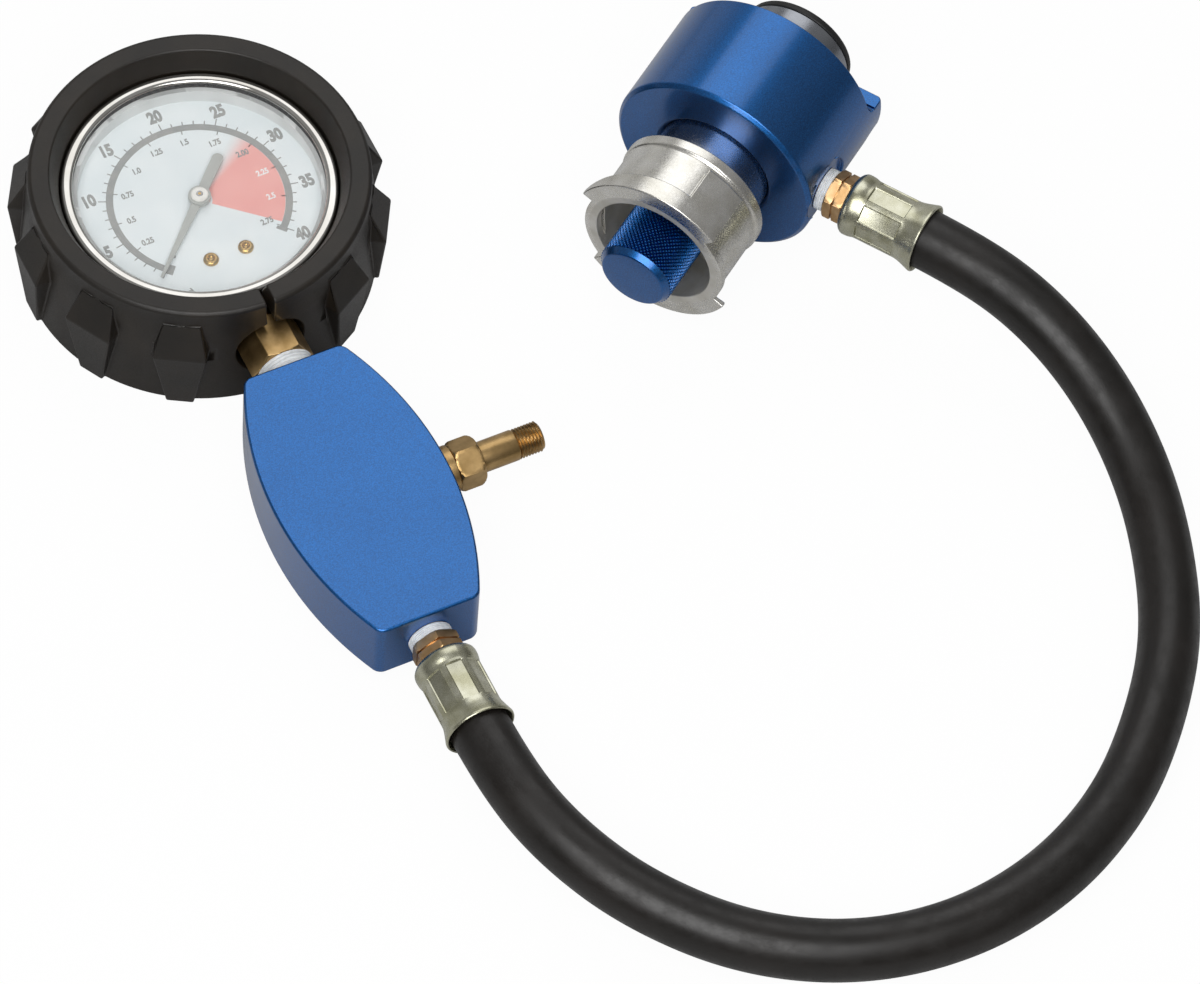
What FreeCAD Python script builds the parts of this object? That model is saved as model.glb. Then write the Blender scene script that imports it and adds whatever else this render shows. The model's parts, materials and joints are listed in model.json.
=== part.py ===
import FreeCAD, Part
import math
import operator
import os
import Sketcher
from FreeCAD import Placement, Rotation, Vector

# Radiator pressure tester: a dial gauge in a rubber boot, screwed into a barrel-shaped manifold that
# also carries an air valve and a hose. The hose feeds a test head, whose claws hook a radiator's filler
# neck on one side, while its own filler neck on the other side takes a radiator cap, or is closed by
# a knurled plug. Millimetres, +Z up. The origin is the centre of the boot's flat back, on the floor.
# The gauge stem points along -Y, the air valve along +X.

SIZES = {
    # rubber boot
    "boot_floor": 2.6, "boot_gap": 0.3, "boot_mouth_flare": 2.4, "boot_rim_wall": 5.4, "boot_rim_bevel": 0.8,
    "boot_ledge_rise": 0.5, "boot_ledge_drop": 2.6, "boot_rim_stand": 5.0, "boot_waist_swell": 0.6,
    "boot_foot_spread": 1.3, "boot_slot_width": 2.0, "boot_stem_hole": 9.0,
    "lug_count": 12, "lug_root_sink": 3.3, "lug_stand": 3.9, "lug_foot_stand": 1.0, "lug_shoulder_drop": 8.5,
    "lug_width": 13.3, "lug_foot_width": 6.8, "lug_top_width": 9.2,
    # gauge case, bezel and window
    "case_radius": 32.3, "case_wall": 1.0, "case_corner": 1.4, "case_height": 22.8, "case_flange": 0.8,
    "case_flange_thick": 1.2, "gasket_thick": 0.6, "window_thick": 1.6, "window_gap": 0.1,
    "bezel_wall": 1.0, "bezel_lip": 0.9, "bezel_round": 0.72, "bezel_hold": 2.0, "bezel_depth": 7.3,
    # dial and pointer
    "dial_clear": 0.4, "dial_thick": 0.6, "dial_ring_wall": 1.2, "dial_hole": 2.0,
    "dial_screw_across": 9.3, "dial_screw_low": 17.4, "dial_screw_head": 1.95, "dial_screw_head_thick": 1.0,
    "dial_screw_shank": 1.0, "pointer_lift": 1.0, "pointer_hub_radius": 2.8, "pointer_hub_thick": 1.4,
    "pointer_blade_lift": 0.4, "pointer_blade_thick": 0.4, "pointer_tip_radius": 25.7,
    "pointer_tail_radius": 13.8, "pointer_root_width": 2.6, "pointer_tip_width": 0.7,
    "pointer_tail_width": 2.9, "pointer_start_angle": 225,
    "cap_radius": 2.2, "cap_thick": 0.6,
    # movement
    "pad_height": 11.4, "plate_thick": 1.0, "plate_spacing": 4.0, "pillar_radius": 1.4, "pivot_radius": 0.8,
    "run_gap": 0.05, "fit_gap": 0.02, "gear_module": 0.4, "pinion_teeth": 10, "sector_circle_teeth": 60,
    "sector_teeth": 10, "sector_bearing": -45, "sector_lift": 1.6, "sector_thick": 1.2, "sector_hub": 2.4,
    "sector_window_margin": 1.2, "sector_rim_wall": 1.6, "pinion_face": 2.0,
    "tail_length": 5.5, "tail_angle": -22.5, "tail_width": 2.2, "tail_eye": 1.5,
    "link_thick": 0.7, "link_lift": 0.1, "link_width": 1.8, "link_pin": 0.6, "link_eye": 1.5,
    "base_half_width": 9.0, "base_margin": 1.7, "plate_half_width": 13.2, "plate_high": 12.0,
    "plate_low": 19.8, "plate_shoulder_low": 12.0, "plate_shoulder_high": 9.0, "plate_crown_half": 9.0,
    "plate_left_half": 11.0, "plate_left_high": 8.0, "plate_inset": 1.5, "hairspring_stud_radius": 0.48,
    "movement_screw_across": 11.0, "movement_screw_inset": 3.4, "movement_screw_head": 1.8,
    "movement_screw_head_thick": 1.2, "movement_screw_shank": 1.0, "movement_screw_length": 4.0,
    "post_radius": 1.9, "collet_radius": 1.1, "hairspring_start": 1.5, "hairspring_step": 0.45,
    "hairspring_strip": 0.16, "hairspring_width": 0.6, "hairspring_halves": 7,
    # Bourdon tube
    "tube_bend_radius": 24.0, "tube_height": 5.6, "tube_thick": 2.4, "tube_corner": 0.72, "tube_wall": 0.35,
    "tube_level": 10.8,
    "tube_start": -20, "tube_sweep": 276, "tip_length": 5.0, "tip_breadth": 4.4, "tip_gap": 0.3,
    # gauge socket and stem
    "stem_height": 17.0, "block_width": 16.0, "block_clear": 1.3, "block_reach": 3.6, "block_shelf": 3.2,
    "block_rise": 3.5, "neck_radius": 3.8, "stem_hex_clear": 6.7, "stem_hex_length": 11.5,
    "stem_across_flats": 14.3, "stem_thread_radius": 6.85, "stem_bore": 1.6, "feed_bore": 0.8,
    "case_screw_across": 10.0, "case_screw_inset": 5.0, "case_screw_head": 2.2, "case_screw_head_thick": 1.4,
    "case_screw_shank": 1.25, "case_screw_length": 5.0,
    "screw_clear": 0.05, "tape_thick": 0.45, "stem_tape_length": 4.7,
    # manifold
    "manifold_length": 78.9, "manifold_end_half": 13.0, "manifold_mid_half": 22.2,
    "manifold_thick": 19.0, "manifold_corner": 3.0, "manifold_bevel": 0.4, "thread_clear": 0.1,
    "stem_thread_length": 10.0, "pipe_thread_radius": 5.1, "pipe_thread_length": 8.5, "port_spare": 0.6,
    "channel_radius": 3.0, "valve_shift": 1.3,
    # air valve
    "valve_across_flats": 11.11, "valve_collar_radius": 6.0, "valve_seat": 0.15, "valve_collar_length": 2.7,
    "valve_hex_length": 7.0, "valve_stem_radius": 3.9, "valve_stem_length": 10.0, "valve_thread_radius": 3.87,
    "valve_thread_length": 6.5, "valve_thread_bevel": 0.4, "valve_bore": 1.6, "valve_chamber": 2.0,
    "valve_mouth": 2.7, "valve_mouth_depth": 7.5, "core_bore": 0.7, "core_chamber": 1.4, "pin_radius": 0.55,
    "pin_travel": 1.5, "pin_seal_radius": 1.45, "pin_seal_thick": 1.4, "pin_collar_radius": 1.2,
    "pin_recess": 0.5, "core_start": 1.0, "spring_seat": 2.0, "spring_head": 1.0, "spring_radius": 1.0,
    "spring_wire": 0.18, "spring_turns": 6,
    # hose fittings and ferrules
    "fitting_gap": 2.6, "fitting_hex": 5.0, "fitting_across_flats": 11.11, "fitting_bevel": 0.4,
    "fitting_groove": 0.5, "fitting_groove_depth": 0.4, "nipple_radius": 4.0, "barb_height": 0.25,
    "barb_pitch": 4.0, "fitting_bore": 2.4,
    "ferrule_length": 21.4, "ferrule_cap": 1.2, "ferrule_cap_radius": 6.7, "ferrule_bulge": 8.1,
    "ferrule_bulge_length": 3.8, "ferrule_waist": 7.7, "ferrule_waist_length": 12.0, "ferrule_flare": 8.95,
    "ferrule_rim": 0.6, "ferrule_mouth_flare": 2.0, "ferrule_crimp_bore": 6.6, "ferrule_mouth_depth": 4.4,
    "press_count": 8, "press_reach": 7.05, "press_width": 4.0, "press_inset": 0.9, "press_length": 10.5,
    "hose_radius": 7.5, "hose_level_run": 17.5,
    # test head: body with claws
    "head_x": 118.6, "head_y": -44.7, "head_yaw": 34.3, "head_radius": 27.4, "head_length": 30.5,
    "head_bevel": 1.0, "head_port_along": 8.7, "head_flat_depth": 1.0, "head_flat_radius": 8.4,
    "head_step_along": 24.0, "head_mouth_bevel": 0.9, "claw_wall": 4.6, "claw_width": 9.4, "claw_reach": 6.7,
    "claw_hook": 3.0, "claw_tip_thick": 1.4, "claw_root_thick": 2.2, "claw_bevel": 0.8, "claw_root_round": 3.2,
    # core tube
    "core_radius": 15.0, "core_nose_radius": 14.5, "core_nose_end": 42.4, "core_bore_radius": 5.0,
    "throat_radius": 7.68, "throat_depth": 9.0, "core_thread_radius": 12.0,
    "oring_section": 0.93, "oring_groove_width": 2.2, "oring_groove_depth": 1.9, "feed_groove_width": 3.0,
    "feed_groove_depth": 1.5, "oring_offset": 4.4, "feed_hole": 1.2, "ring_groove_depth": 0.9, "ring_thick": 1.1,
    "ring_width": 3.3, "ring_mouth": 8.0, "seal_length": 2.4, "seal_spigot": 11.0, "seal_radius": 14.6,
    "seal_bevel": 0.8,
    # filler neck
    "neck_gap": 9.0, "neck_length": 21.0, "neck_outer": 18.6, "neck_inner": 15.9, "neck_floor": 4.2,
    "neck_rim": 19.2, "neck_rim_length": 2.7, "neck_rim_slope": 0.6, "neck_flange_radius": 19.3,
    "neck_flange_thick": 2.4, "cam_radius": 22.2, "cam_spread": 83, "cam_thick": 6.5, "cam_tilt": 14.6,
    "cam_high_bearing": 6, "cam_sink": 0.2, "stop_bearing": 31, "stop_spread": 30, "stop_length": 15.0,
    # knurled plug
    "knob_radius": 9.9, "knob_face_radius": 8.4, "knob_bevel_length": 1.5, "knob_stand": 10.0, "knob_collar": 11.5,
    "knob_collar_thick": 2.5, "plug_thread_radius": 7.6, "plug_thread_length": 6.0, "washer_thick": 1.0,
    "washer_bore": 8.0, "plug_ring_radius": 10.2, "plug_ring_section": 0.9, "seat_gap": 0.1,
}

doc = FreeCAD.newDocument("radiator_pressure_tester")
sheet = doc.addObject("Spreadsheet::Sheet", "Sizes")
for row, (alias, amount) in enumerate(SIZES.items(), start=1):
    sheet.set("A%d" % row, alias)
    sheet.set("B%d" % row, str(amount))
    sheet.setAlias("B%d" % row, alias)
doc.recompute()


class Size:
    """A length, angle or count: its value, and the sheet expression that it comes from."""

    SIGNS = {"+": operator.add, "-": operator.sub, "*": operator.mul, "/": operator.truediv}

    def __init__(self, value, text):
        self.value = value
        self.text = text

    def joined(self, sign, other, swapped=False):
        if not isinstance(other, Size):
            other = Size(other, "(%r)" % other)
        first, second = (other, self) if swapped else (self, other)
        value = self.SIGNS[sign](first.value, second.value)
        return Size(value, "(%s %s %s)" % (first.text, sign, second.text))

    def __add__(self, other):
        return self.joined("+", other)

    def __radd__(self, other):
        return self.joined("+", other, swapped=True)

    def __sub__(self, other):
        return self.joined("-", other)

    def __rsub__(self, other):
        return self.joined("-", other, swapped=True)

    def __mul__(self, other):
        return self.joined("*", other)

    def __rmul__(self, other):
        return self.joined("*", other, swapped=True)

    def __truediv__(self, other):
        return self.joined("/", other)

    def __neg__(self):
        return self.joined("*", -1)


class Sheet:
    """The sheet's cells as Size values, read by name."""

    def __getattr__(self, alias):
        return Size(float(sheet.get(alias)), "Sizes." + alias)


size = Sheet()
pieces = []


def number(size_or_number):
    return size_or_number.value if isinstance(size_or_number, Size) else float(size_or_number)


def bind(thing, name, amount):
    """Set one property of an object, and tie it to the sheet where it comes from there."""
    setattr(thing, name, number(amount))
    if isinstance(amount, Size):
        thing.setExpression(name, amount.text)


def place(thing, x=0, y=0, z=0, turn=Rotation()):
    """Stand an object at a point, turned; each offset stays tied to the sheet."""
    thing.Placement = Placement(Vector(number(x), number(y), number(z)), turn)
    for axis, offset in zip("xyz", (x, y, z)):
        if isinstance(offset, Size):
            thing.setExpression("Placement.Base." + axis, offset.text)
    return thing


def primitive(kind, label, spot=(0, 0, 0), turn=Rotation(), **amounts):
    thing = doc.addObject("Part::" + kind, label)
    for name, amount in amounts.items():
        bind(thing, name, amount)
    return place(thing, *spot, turn=turn)


def rod(label, radius, length, spot=(0, 0, 0), turn=Rotation()):
    return primitive("Cylinder", label, spot, turn, Radius=radius, Height=length)


def fused(label, *things):
    thing = doc.addObject("Part::MultiFuse", label)
    thing.Shapes = list(things)
    return thing


def grouped(label, *things):
    """Several like solids that share one node."""
    thing = doc.addObject("Part::Compound", label)
    thing.Links = list(things)
    return thing


def common(label, *things):
    """What several solids share."""
    thing = doc.addObject("Part::MultiCommon", label)
    thing.Shapes = list(things)
    return thing


def cut(label, base, *tools):
    thing = doc.addObject("Part::Cut", label)
    thing.Base = base
    thing.Tool = tools[0] if len(tools) == 1 else fused(label + "_tools", *tools)
    return thing


def piece(label, thing):
    """Name a finished sub-part; its label names its file."""
    thing.Label = label
    pieces.append(thing)
    return thing


def outline(body, plane, points):
    """A closed sketch of straight runs, with both coordinates of each corner tied to the sheet."""
    sketch = body.newObject("Sketcher::SketchObject", body.Name + "_outline")
    origin_plane = [feature for feature in body.Origin.OriginFeatures if feature.Role == plane][0]
    sketch.AttachmentSupport = [(origin_plane, "")]
    sketch.MapMode = "FlatFace"
    corners = [Vector(number(across), number(up), 0) for across, up in points]
    for start, end in zip(corners, corners[1:] + corners[:1]):
        sketch.addGeometry(Part.LineSegment(start, end))
    for side in range(len(corners)):
        sketch.addConstraint(Sketcher.Constraint("Coincident", side, 2, (side + 1) % len(corners), 1))
    for side, (across, up) in enumerate(points):
        for kind, amount, axis in (("DistanceX", across, -2), ("DistanceY", up, -1)):
            if number(amount) == 0:
                sketch.addConstraint(Sketcher.Constraint("PointOnObject", side, 1, axis))
                continue
            rule = sketch.addConstraint(Sketcher.Constraint(kind, side, 1, number(amount)))
            if isinstance(amount, Size):
                sketch.setExpression("Constraints[%d]" % rule, amount.text)
    return sketch


def turned(label, points, sweep=360, plane="XZ_Plane"):
    """A body turned about its own Z axis from (radius, height) corners; a part turn is centred."""
    body = doc.addObject("PartDesign::Body", label)
    sketch = outline(body, plane, points)
    turning = body.newObject("PartDesign::Revolution", label + "_turning")
    turning.Profile = sketch
    turning.ReferenceAxis = (sketch, ["V_Axis"])
    bind(turning, "Angle", sweep)
    turning.Midplane = number(sweep) < 360
    return body


def plate(label, points, thickness):
    """A body padded up from (x, y) corners."""
    body = doc.addObject("PartDesign::Body", label)
    sketch = outline(body, "XY_Plane", points)
    pad = body.newObject("PartDesign::Pad", label + "_pad")
    pad.Profile = sketch
    bind(pad, "Length", thickness)
    return body


def soften(body, kind, amount, wanted):
    """Fillet or chamfer those edges of a body that wanted() accepts."""
    doc.recompute()
    tip = body.Tip
    names = ["Edge%d" % count for count, edge in enumerate(tip.Shape.Edges, start=1) if wanted(edge)]
    if not names:
        raise ValueError("no edges to soften on " + body.Label)
    softened = body.newObject("PartDesign::" + kind, "%s_%s" % (body.Name, kind.lower()))
    softened.Base = (tip, names)
    bind(softened, "Radius" if kind == "Fillet" else "Size", amount)
    return body


def rings(*spots):
    """Accept the circles with these radii and heights."""
    def wanted(edge):
        if edge.Curve.TypeId != "Part::GeomCircle":
            return False
        return any(abs(edge.Curve.Radius - number(radius)) < 1e-4
                   and abs(edge.Curve.Center.z - number(height)) < 1e-4 for radius, height in spots)
    return wanted


def hexagon_cut(label, base, across_flats, low, length):
    """Mill a hexagon on a turned piece: what stands outside its six flats is cut away."""
    blank = rod(label + "_blank", across_flats, length, (0, 0, low))
    core = primitive("Prism", label + "_prism", (0, 0, low), Height=length,
                     Circumradius=across_flats / math.sqrt(3))
    core.Polygon = 6
    return cut(label, base, cut(label + "_flats", blank, core))


def drilled(label, radius, wall, x, y, low):
    """A drill that passes one wall, whose lower face is at the given height, from below to above it."""
    return rod(label, radius, THROUGH * wall, (x, y, low - wall))


THROUGH = 3
ALONG_MINUS_Y = Rotation(Vector(1, 0, 0), Vector(0, 0, 1), Vector(0, -1, 0), "XYZ")
ALONG_PLUS_Y = Rotation(Vector(1, 0, 0), Vector(0, 0, -1), Vector(0, 1, 0), "XYZ")
ALONG_PLUS_X = Rotation(Vector(0, 1, 0), Vector(0, 0, 1), Vector(1, 0, 0), "XYZ")

# ---------------------------------------------------------------------------------------------------
# Heights in the gauge, from the floor up: boot, case, socket pad, movement, dial, pointer, window
# ---------------------------------------------------------------------------------------------------
case_back = size.boot_floor
case_inside = case_back + size.case_wall
case_bore = size.case_radius - size.case_wall
flange_top = case_back + size.case_height
flange_radius = size.case_radius + size.case_flange
window_back = flange_top + size.gasket_thick
window_front = window_back + size.window_thick
bezel_inner = flange_radius + size.window_gap
bezel_radius = bezel_inner + size.bezel_wall
bezel_top = window_front + size.bezel_lip
bezel_bottom = bezel_top - size.bezel_depth
pad_top = size.pad_height + case_back
base_top = pad_top + size.plate_thick
plate_under = base_top + size.plate_spacing
plate_top = plate_under + size.plate_thick
dial_back = plate_top + 2 * size.dial_thick + size.fit_gap
dial_front = dial_back + size.dial_thick
sector_low = base_top + size.sector_lift
sector_top = sector_low + size.sector_thick
link_low = sector_top + size.link_lift
hub_low = dial_front + size.pointer_lift
hub_top = hub_low + size.pointer_hub_thick

# ---------------------------------------------------------------------------------------------------
# Rubber boot: a turned cup with wedge lugs, a round opening for the stem and a slot above it
# ---------------------------------------------------------------------------------------------------
bezel_pocket = bezel_radius + size.boot_gap
case_pocket = size.case_radius + size.boot_gap
mouth_radius = bezel_pocket + size.boot_mouth_flare
rim_radius = mouth_radius + size.boot_rim_wall
waist_radius = rim_radius + size.boot_waist_swell
foot_radius = waist_radius + size.boot_foot_spread
ledge_high = bezel_top + size.boot_ledge_rise
ledge_low = ledge_high - size.boot_ledge_drop
rim_high = ledge_high + size.boot_rim_stand
boot_cup = turned("boot_cup", [
    (0, 0), (foot_radius, 0), (waist_radius, ledge_low), (rim_radius, ledge_high),
    (rim_radius, rim_high - size.boot_rim_bevel), (rim_radius - size.boot_rim_bevel, rim_high),
    (mouth_radius, rim_high), (bezel_pocket, bezel_top),
    (bezel_pocket, bezel_bottom - size.boot_gap), (case_pocket, bezel_bottom - size.boot_gap),
    (case_pocket, case_back), (0, case_back)])
LUG_STANCE = Rotation(Vector(0, 1, 0), Vector(0, 0, 1), Vector(1, 0, 0), "XYZ")
STEM_BEARING = 270
lug_root = rim_radius - size.lug_root_sink
lug_radius = waist_radius + size.lug_stand
lug_foot = foot_radius + size.lug_foot_stand
lug_shoulder = ledge_high - size.lug_shoulder_drop


def lug(bearing):
    """One lug: it widens and grows up to its shoulder, then narrows and slopes in to the rim."""
    turn = Rotation(Vector(0, 0, 1), bearing).multiply(LUG_STANCE)
    name = "lug_%03d" % bearing
    lower = primitive("Wedge", name + "_lower", (0, 0, 0), turn,
                      Xmin=-size.lug_foot_width / 2, Xmax=size.lug_foot_width / 2,
                      Ymin=0, Ymax=lug_shoulder, Zmin=lug_root, Zmax=lug_foot,
                      X2min=-size.lug_width / 2, X2max=size.lug_width / 2, Z2min=lug_root, Z2max=lug_radius)
    upper = primitive("Wedge", name + "_upper", (0, 0, 0), turn,
                      Xmin=-size.lug_width / 2, Xmax=size.lug_width / 2,
                      Ymin=lug_shoulder, Ymax=ledge_high, Zmin=lug_root, Zmax=lug_radius,
                      X2min=-size.lug_top_width / 2, X2max=size.lug_top_width / 2,
                      Z2min=lug_root, Z2max=rim_radius)
    return [lower, upper]


lugs = []
lug_pitch = 360 / number(size.lug_count)
for place_in_ring in range(int(number(size.lug_count))):
    bearing = (STEM_BEARING + place_in_ring * lug_pitch) % 360
    if place_in_ring:
        lugs.extend(lug(bearing))
boot_whole = fused("boot_whole", boot_cup, *lugs)
stem_opening = rod("stem_opening", size.boot_stem_hole, lug_radius, (0, -case_bore, size.stem_height),
                   ALONG_MINUS_Y)
rim_slot = primitive("Box", "rim_slot", (-size.boot_slot_width / 2, -case_bore - lug_radius, size.stem_height),
                     Length=size.boot_slot_width, Width=lug_radius, Height=rim_high)
block_inner = size.tube_bend_radius - size.movement_screw_inset - size.block_reach
case_screw_low = block_inner + size.case_screw_inset
head_pockets = [
    rod("screw_pocket", size.case_screw_head + size.boot_gap, size.case_screw_head_thick + size.screw_clear,
        (side * size.case_screw_across / 2, -case_screw_low,
         case_back - size.case_screw_head_thick - size.screw_clear))
    for side in (-1, 1)]
piece("rubber_boot", cut("boot", boot_whole, stem_opening, rim_slot, *head_pockets))

# ---------------------------------------------------------------------------------------------------
# Gauge case: a drawn steel cup with a rolled flange, a hole for the socket's neck and two screw holes
# ---------------------------------------------------------------------------------------------------
case_cup = turned("case_cup", [
    (0, case_back), (size.case_radius - size.case_corner, case_back),
    (size.case_radius, case_back + size.case_corner),
    (size.case_radius, flange_top - size.case_flange_thick), (flange_radius, flange_top - size.case_flange_thick),
    (flange_radius, flange_top), (case_bore, flange_top), (case_bore, case_inside), (0, case_inside)])
neck_hole = rod("neck_hole", size.neck_radius + size.screw_clear, THROUGH * size.case_wall,
                (0, -case_bore + size.case_wall, size.stem_height), ALONG_MINUS_Y)


def screw_places(across, low):
    """The two places of a pair of screws, left and right of the stem."""
    return [(side * across / 2, -low) for side in (-1, 1)]


case_screw_places = screw_places(size.case_screw_across, case_screw_low)
case_screw_bore = size.case_screw_shank + size.screw_clear
case_holes = [drilled("case_hole", case_screw_bore, size.case_wall, x, y, case_back)
              for x, y in case_screw_places]
piece("gauge_case", cut("case", case_cup, neck_hole, *case_holes))

# Bezel: a chromed ring whose rolled lip holds the window down on its gasket
bezel_opening = bezel_inner - size.bezel_hold
bezel = turned("bezel", [
    (bezel_opening, window_front), (bezel_inner, window_front), (bezel_inner, bezel_bottom),
    (bezel_radius, bezel_bottom), (bezel_radius, bezel_top), (bezel_opening, bezel_top)])
soften(bezel, "Fillet", size.bezel_round, rings((bezel_radius, bezel_top)))
piece("gauge_bezel", bezel)

window_radius = bezel_inner - size.window_gap
piece("gauge_window", rod("window", window_radius, size.window_thick, (0, 0, window_back)))
piece("window_gasket", turned("gasket", [
    (case_bore, flange_top), (flange_radius, flange_top), (flange_radius, window_back), (case_bore, window_back)]))
ring_outer = case_bore - size.window_gap
ring_inner = ring_outer - size.dial_ring_wall
piece("dial_ring", turned("spacer", [
    (ring_inner, dial_front), (ring_outer, dial_front), (ring_outer, window_back), (ring_inner, window_back)]))

# ---------------------------------------------------------------------------------------------------
# Dial: a thin disc on two posts of the movement, held by two round-headed brass screws
# ---------------------------------------------------------------------------------------------------
dial_screw_places = screw_places(size.dial_screw_across, size.dial_screw_low)
dial_screw_bore = size.dial_screw_shank + size.screw_clear
dial_disc = rod("dial_disc", case_bore - size.dial_clear, size.dial_thick, (0, 0, dial_back))
dial_holes = [drilled("dial_hole", dial_screw_bore, size.dial_thick, x, y, dial_back)
              for x, y in dial_screw_places]
arbor_hole = drilled("arbor_hole", size.dial_hole, size.dial_thick, 0, 0, dial_back)
piece("dial", cut("dial_plate", dial_disc, arbor_hole, *dial_holes))


SCREW_CORNER_SHARE = 0.35


def screw(label, spot, head_radius, head_thick, shank_radius, shank_length, upside_down=False):
    """A pan-head screw whose head bears on the given spot; its shank points down, or up."""
    corner = head_thick * SCREW_CORNER_SHARE
    body = turned(label, [
        (0, -shank_length), (shank_radius, -shank_length), (shank_radius, 0), (head_radius, 0),
        (head_radius, head_thick - corner), (head_radius - corner, head_thick), (0, head_thick)])
    turn = Rotation(Vector(1, 0, 0), 180) if upside_down else Rotation()
    return place(body, *spot, turn=turn)


post_height = dial_back - plate_top
piece("dial_screws", grouped("dial_screw_pair", *[
    screw("dial_screw", (x, y, dial_front), size.dial_screw_head, size.dial_screw_head_thick,
          size.dial_screw_shank, size.dial_thick + post_height + size.plate_thick / 2)
    for x, y in dial_screw_places]))

# Pointer: a tapered blade and a round-ended tail on a hub, at the zero mark; it is made pointing to +Y
blade_low = size.pointer_blade_lift
pointer_hub = rod("pointer_hub", size.pointer_hub_radius, size.pointer_hub_thick)
pointer_blade = place(plate("pointer_blade", [
    (-size.pointer_root_width / 2, 0), (size.pointer_root_width / 2, 0),
    (size.pointer_tip_width / 2, size.pointer_tip_radius), (-size.pointer_tip_width / 2, size.pointer_tip_radius),
], size.pointer_blade_thick), z=blade_low)
tail_round = size.pointer_tail_width / 2
tail_end = size.pointer_tail_radius - tail_round
pointer_tail = place(plate("pointer_tail", [
    (-size.pointer_root_width / 2, 0), (-tail_round, -tail_end), (tail_round, -tail_end),
    (size.pointer_root_width / 2, 0)], size.pointer_blade_thick), z=blade_low)
pointer_end = rod("pointer_end", tail_round, size.pointer_blade_thick, (0, -tail_end, blade_low))
pointer_bore = drilled("pointer_bore", size.pivot_radius + size.fit_gap, size.pointer_hub_thick, 0, 0, 0)
pointer_turn = Rotation(Vector(0, 0, 1), number(size.pointer_start_angle) - 90)
pointer = cut("pointer_blank", fused("pointer_whole", pointer_hub, pointer_blade, pointer_tail, pointer_end),
              pointer_bore)
piece("pointer", place(pointer, z=hub_low, turn=pointer_turn))
piece("pointer_cap", turned("cap", [
    (size.pivot_radius + size.fit_gap, hub_top), (size.cap_radius, hub_top),
    (size.cap_radius, hub_top + size.cap_thick / 2),
    (size.cap_radius - size.cap_thick / 2, hub_top + size.cap_thick),
    (size.pivot_radius + size.fit_gap, hub_top + size.cap_thick)]))

# ---------------------------------------------------------------------------------------------------
# Movement: two plates on pillars, a toothed sector that drives the pinion on the pointer's arbor
# ---------------------------------------------------------------------------------------------------
module = number(size.gear_module)
pinion_pitch = module * number(size.pinion_teeth) / 2
sector_pitch = module * number(size.sector_circle_teeth) / 2
sector_bearing = math.radians(number(size.sector_bearing))
sector_x = size.gear_module * (size.pinion_teeth + size.sector_circle_teeth) / 2 * math.cos(sector_bearing)
sector_y = size.gear_module * (size.pinion_teeth + size.sector_circle_teeth) / 2 * math.sin(sector_bearing)
tail_angle = math.radians(number(size.tail_angle))
TOOTH_TIP = 0.75
TOOTH_ROOT = 1.25
TOOTH_ROOT_HALF = 0.78
TOOTH_TIP_HALF = 0.28
PILLAR_PLACES = ((-7.0, 9.0), (8.0, 8.0), (-3.0, -16.0))


def tooth(pitch_radius, bearing, low, face):
    """One straight-flanked tooth on a pitch circle, as a solid that reaches into its rim."""
    root = pitch_radius - TOOTH_ROOT * module
    tip = pitch_radius + TOOTH_TIP * module
    root_half = TOOTH_ROOT_HALF * module
    tip_half = TOOTH_TIP_HALF * module
    sunk = module / 2
    corners = [(root - sunk, -root_half), (root, -root_half), (tip, -tip_half),
               (tip, tip_half), (root, root_half), (root - sunk, root_half)]
    loop = [Vector(along, across, 0) for along, across in corners]
    face_outline = Part.Face(Part.makePolygon(loop + loop[:1]))
    solid = face_outline.extrude(Vector(0, 0, face))
    solid.Placement = Placement(Vector(0, 0, low), Rotation(Vector(0, 0, 1), bearing))
    return solid


def teeth(label, pitch_radius, bearings, low, face):
    """A ring or arc of teeth as one object."""
    thing = doc.addObject("Part::Feature", label)
    thing.Shape = Part.makeCompound([tooth(pitch_radius, bearing, low, face) for bearing in bearings])
    return thing


mesh_bearing = number(size.sector_bearing)
pinion_low = number(sector_low) - (number(size.pinion_face) - number(size.sector_thick)) / 2
pinion_step = 360 / number(size.pinion_teeth)
pinion_ring = teeth("pinion_ring", pinion_pitch,
                    [mesh_bearing + count * pinion_step for count in range(int(number(size.pinion_teeth)))],
                    pinion_low, number(size.pinion_face))
pinion_root = size.gear_module * (size.pinion_teeth / 2 - TOOTH_ROOT)
pinion_low_size = sector_low - (size.pinion_face - size.sector_thick) / 2
pinion_blank = rod("pinion_blank", pinion_root, size.pinion_face, (0, 0, pinion_low_size))
pinion_arbor = rod("pinion_arbor", size.pivot_radius, hub_top + size.cap_thick - pad_top, (0, 0, pad_top))
hairspring_low = plate_under - size.hairspring_width - size.tip_gap / 2
collet = rod("collet", size.collet_radius, size.hairspring_width, (0, 0, hairspring_low))
piece("pinion_shaft", fused("pinion", pinion_arbor, pinion_blank, pinion_ring, collet))

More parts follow.
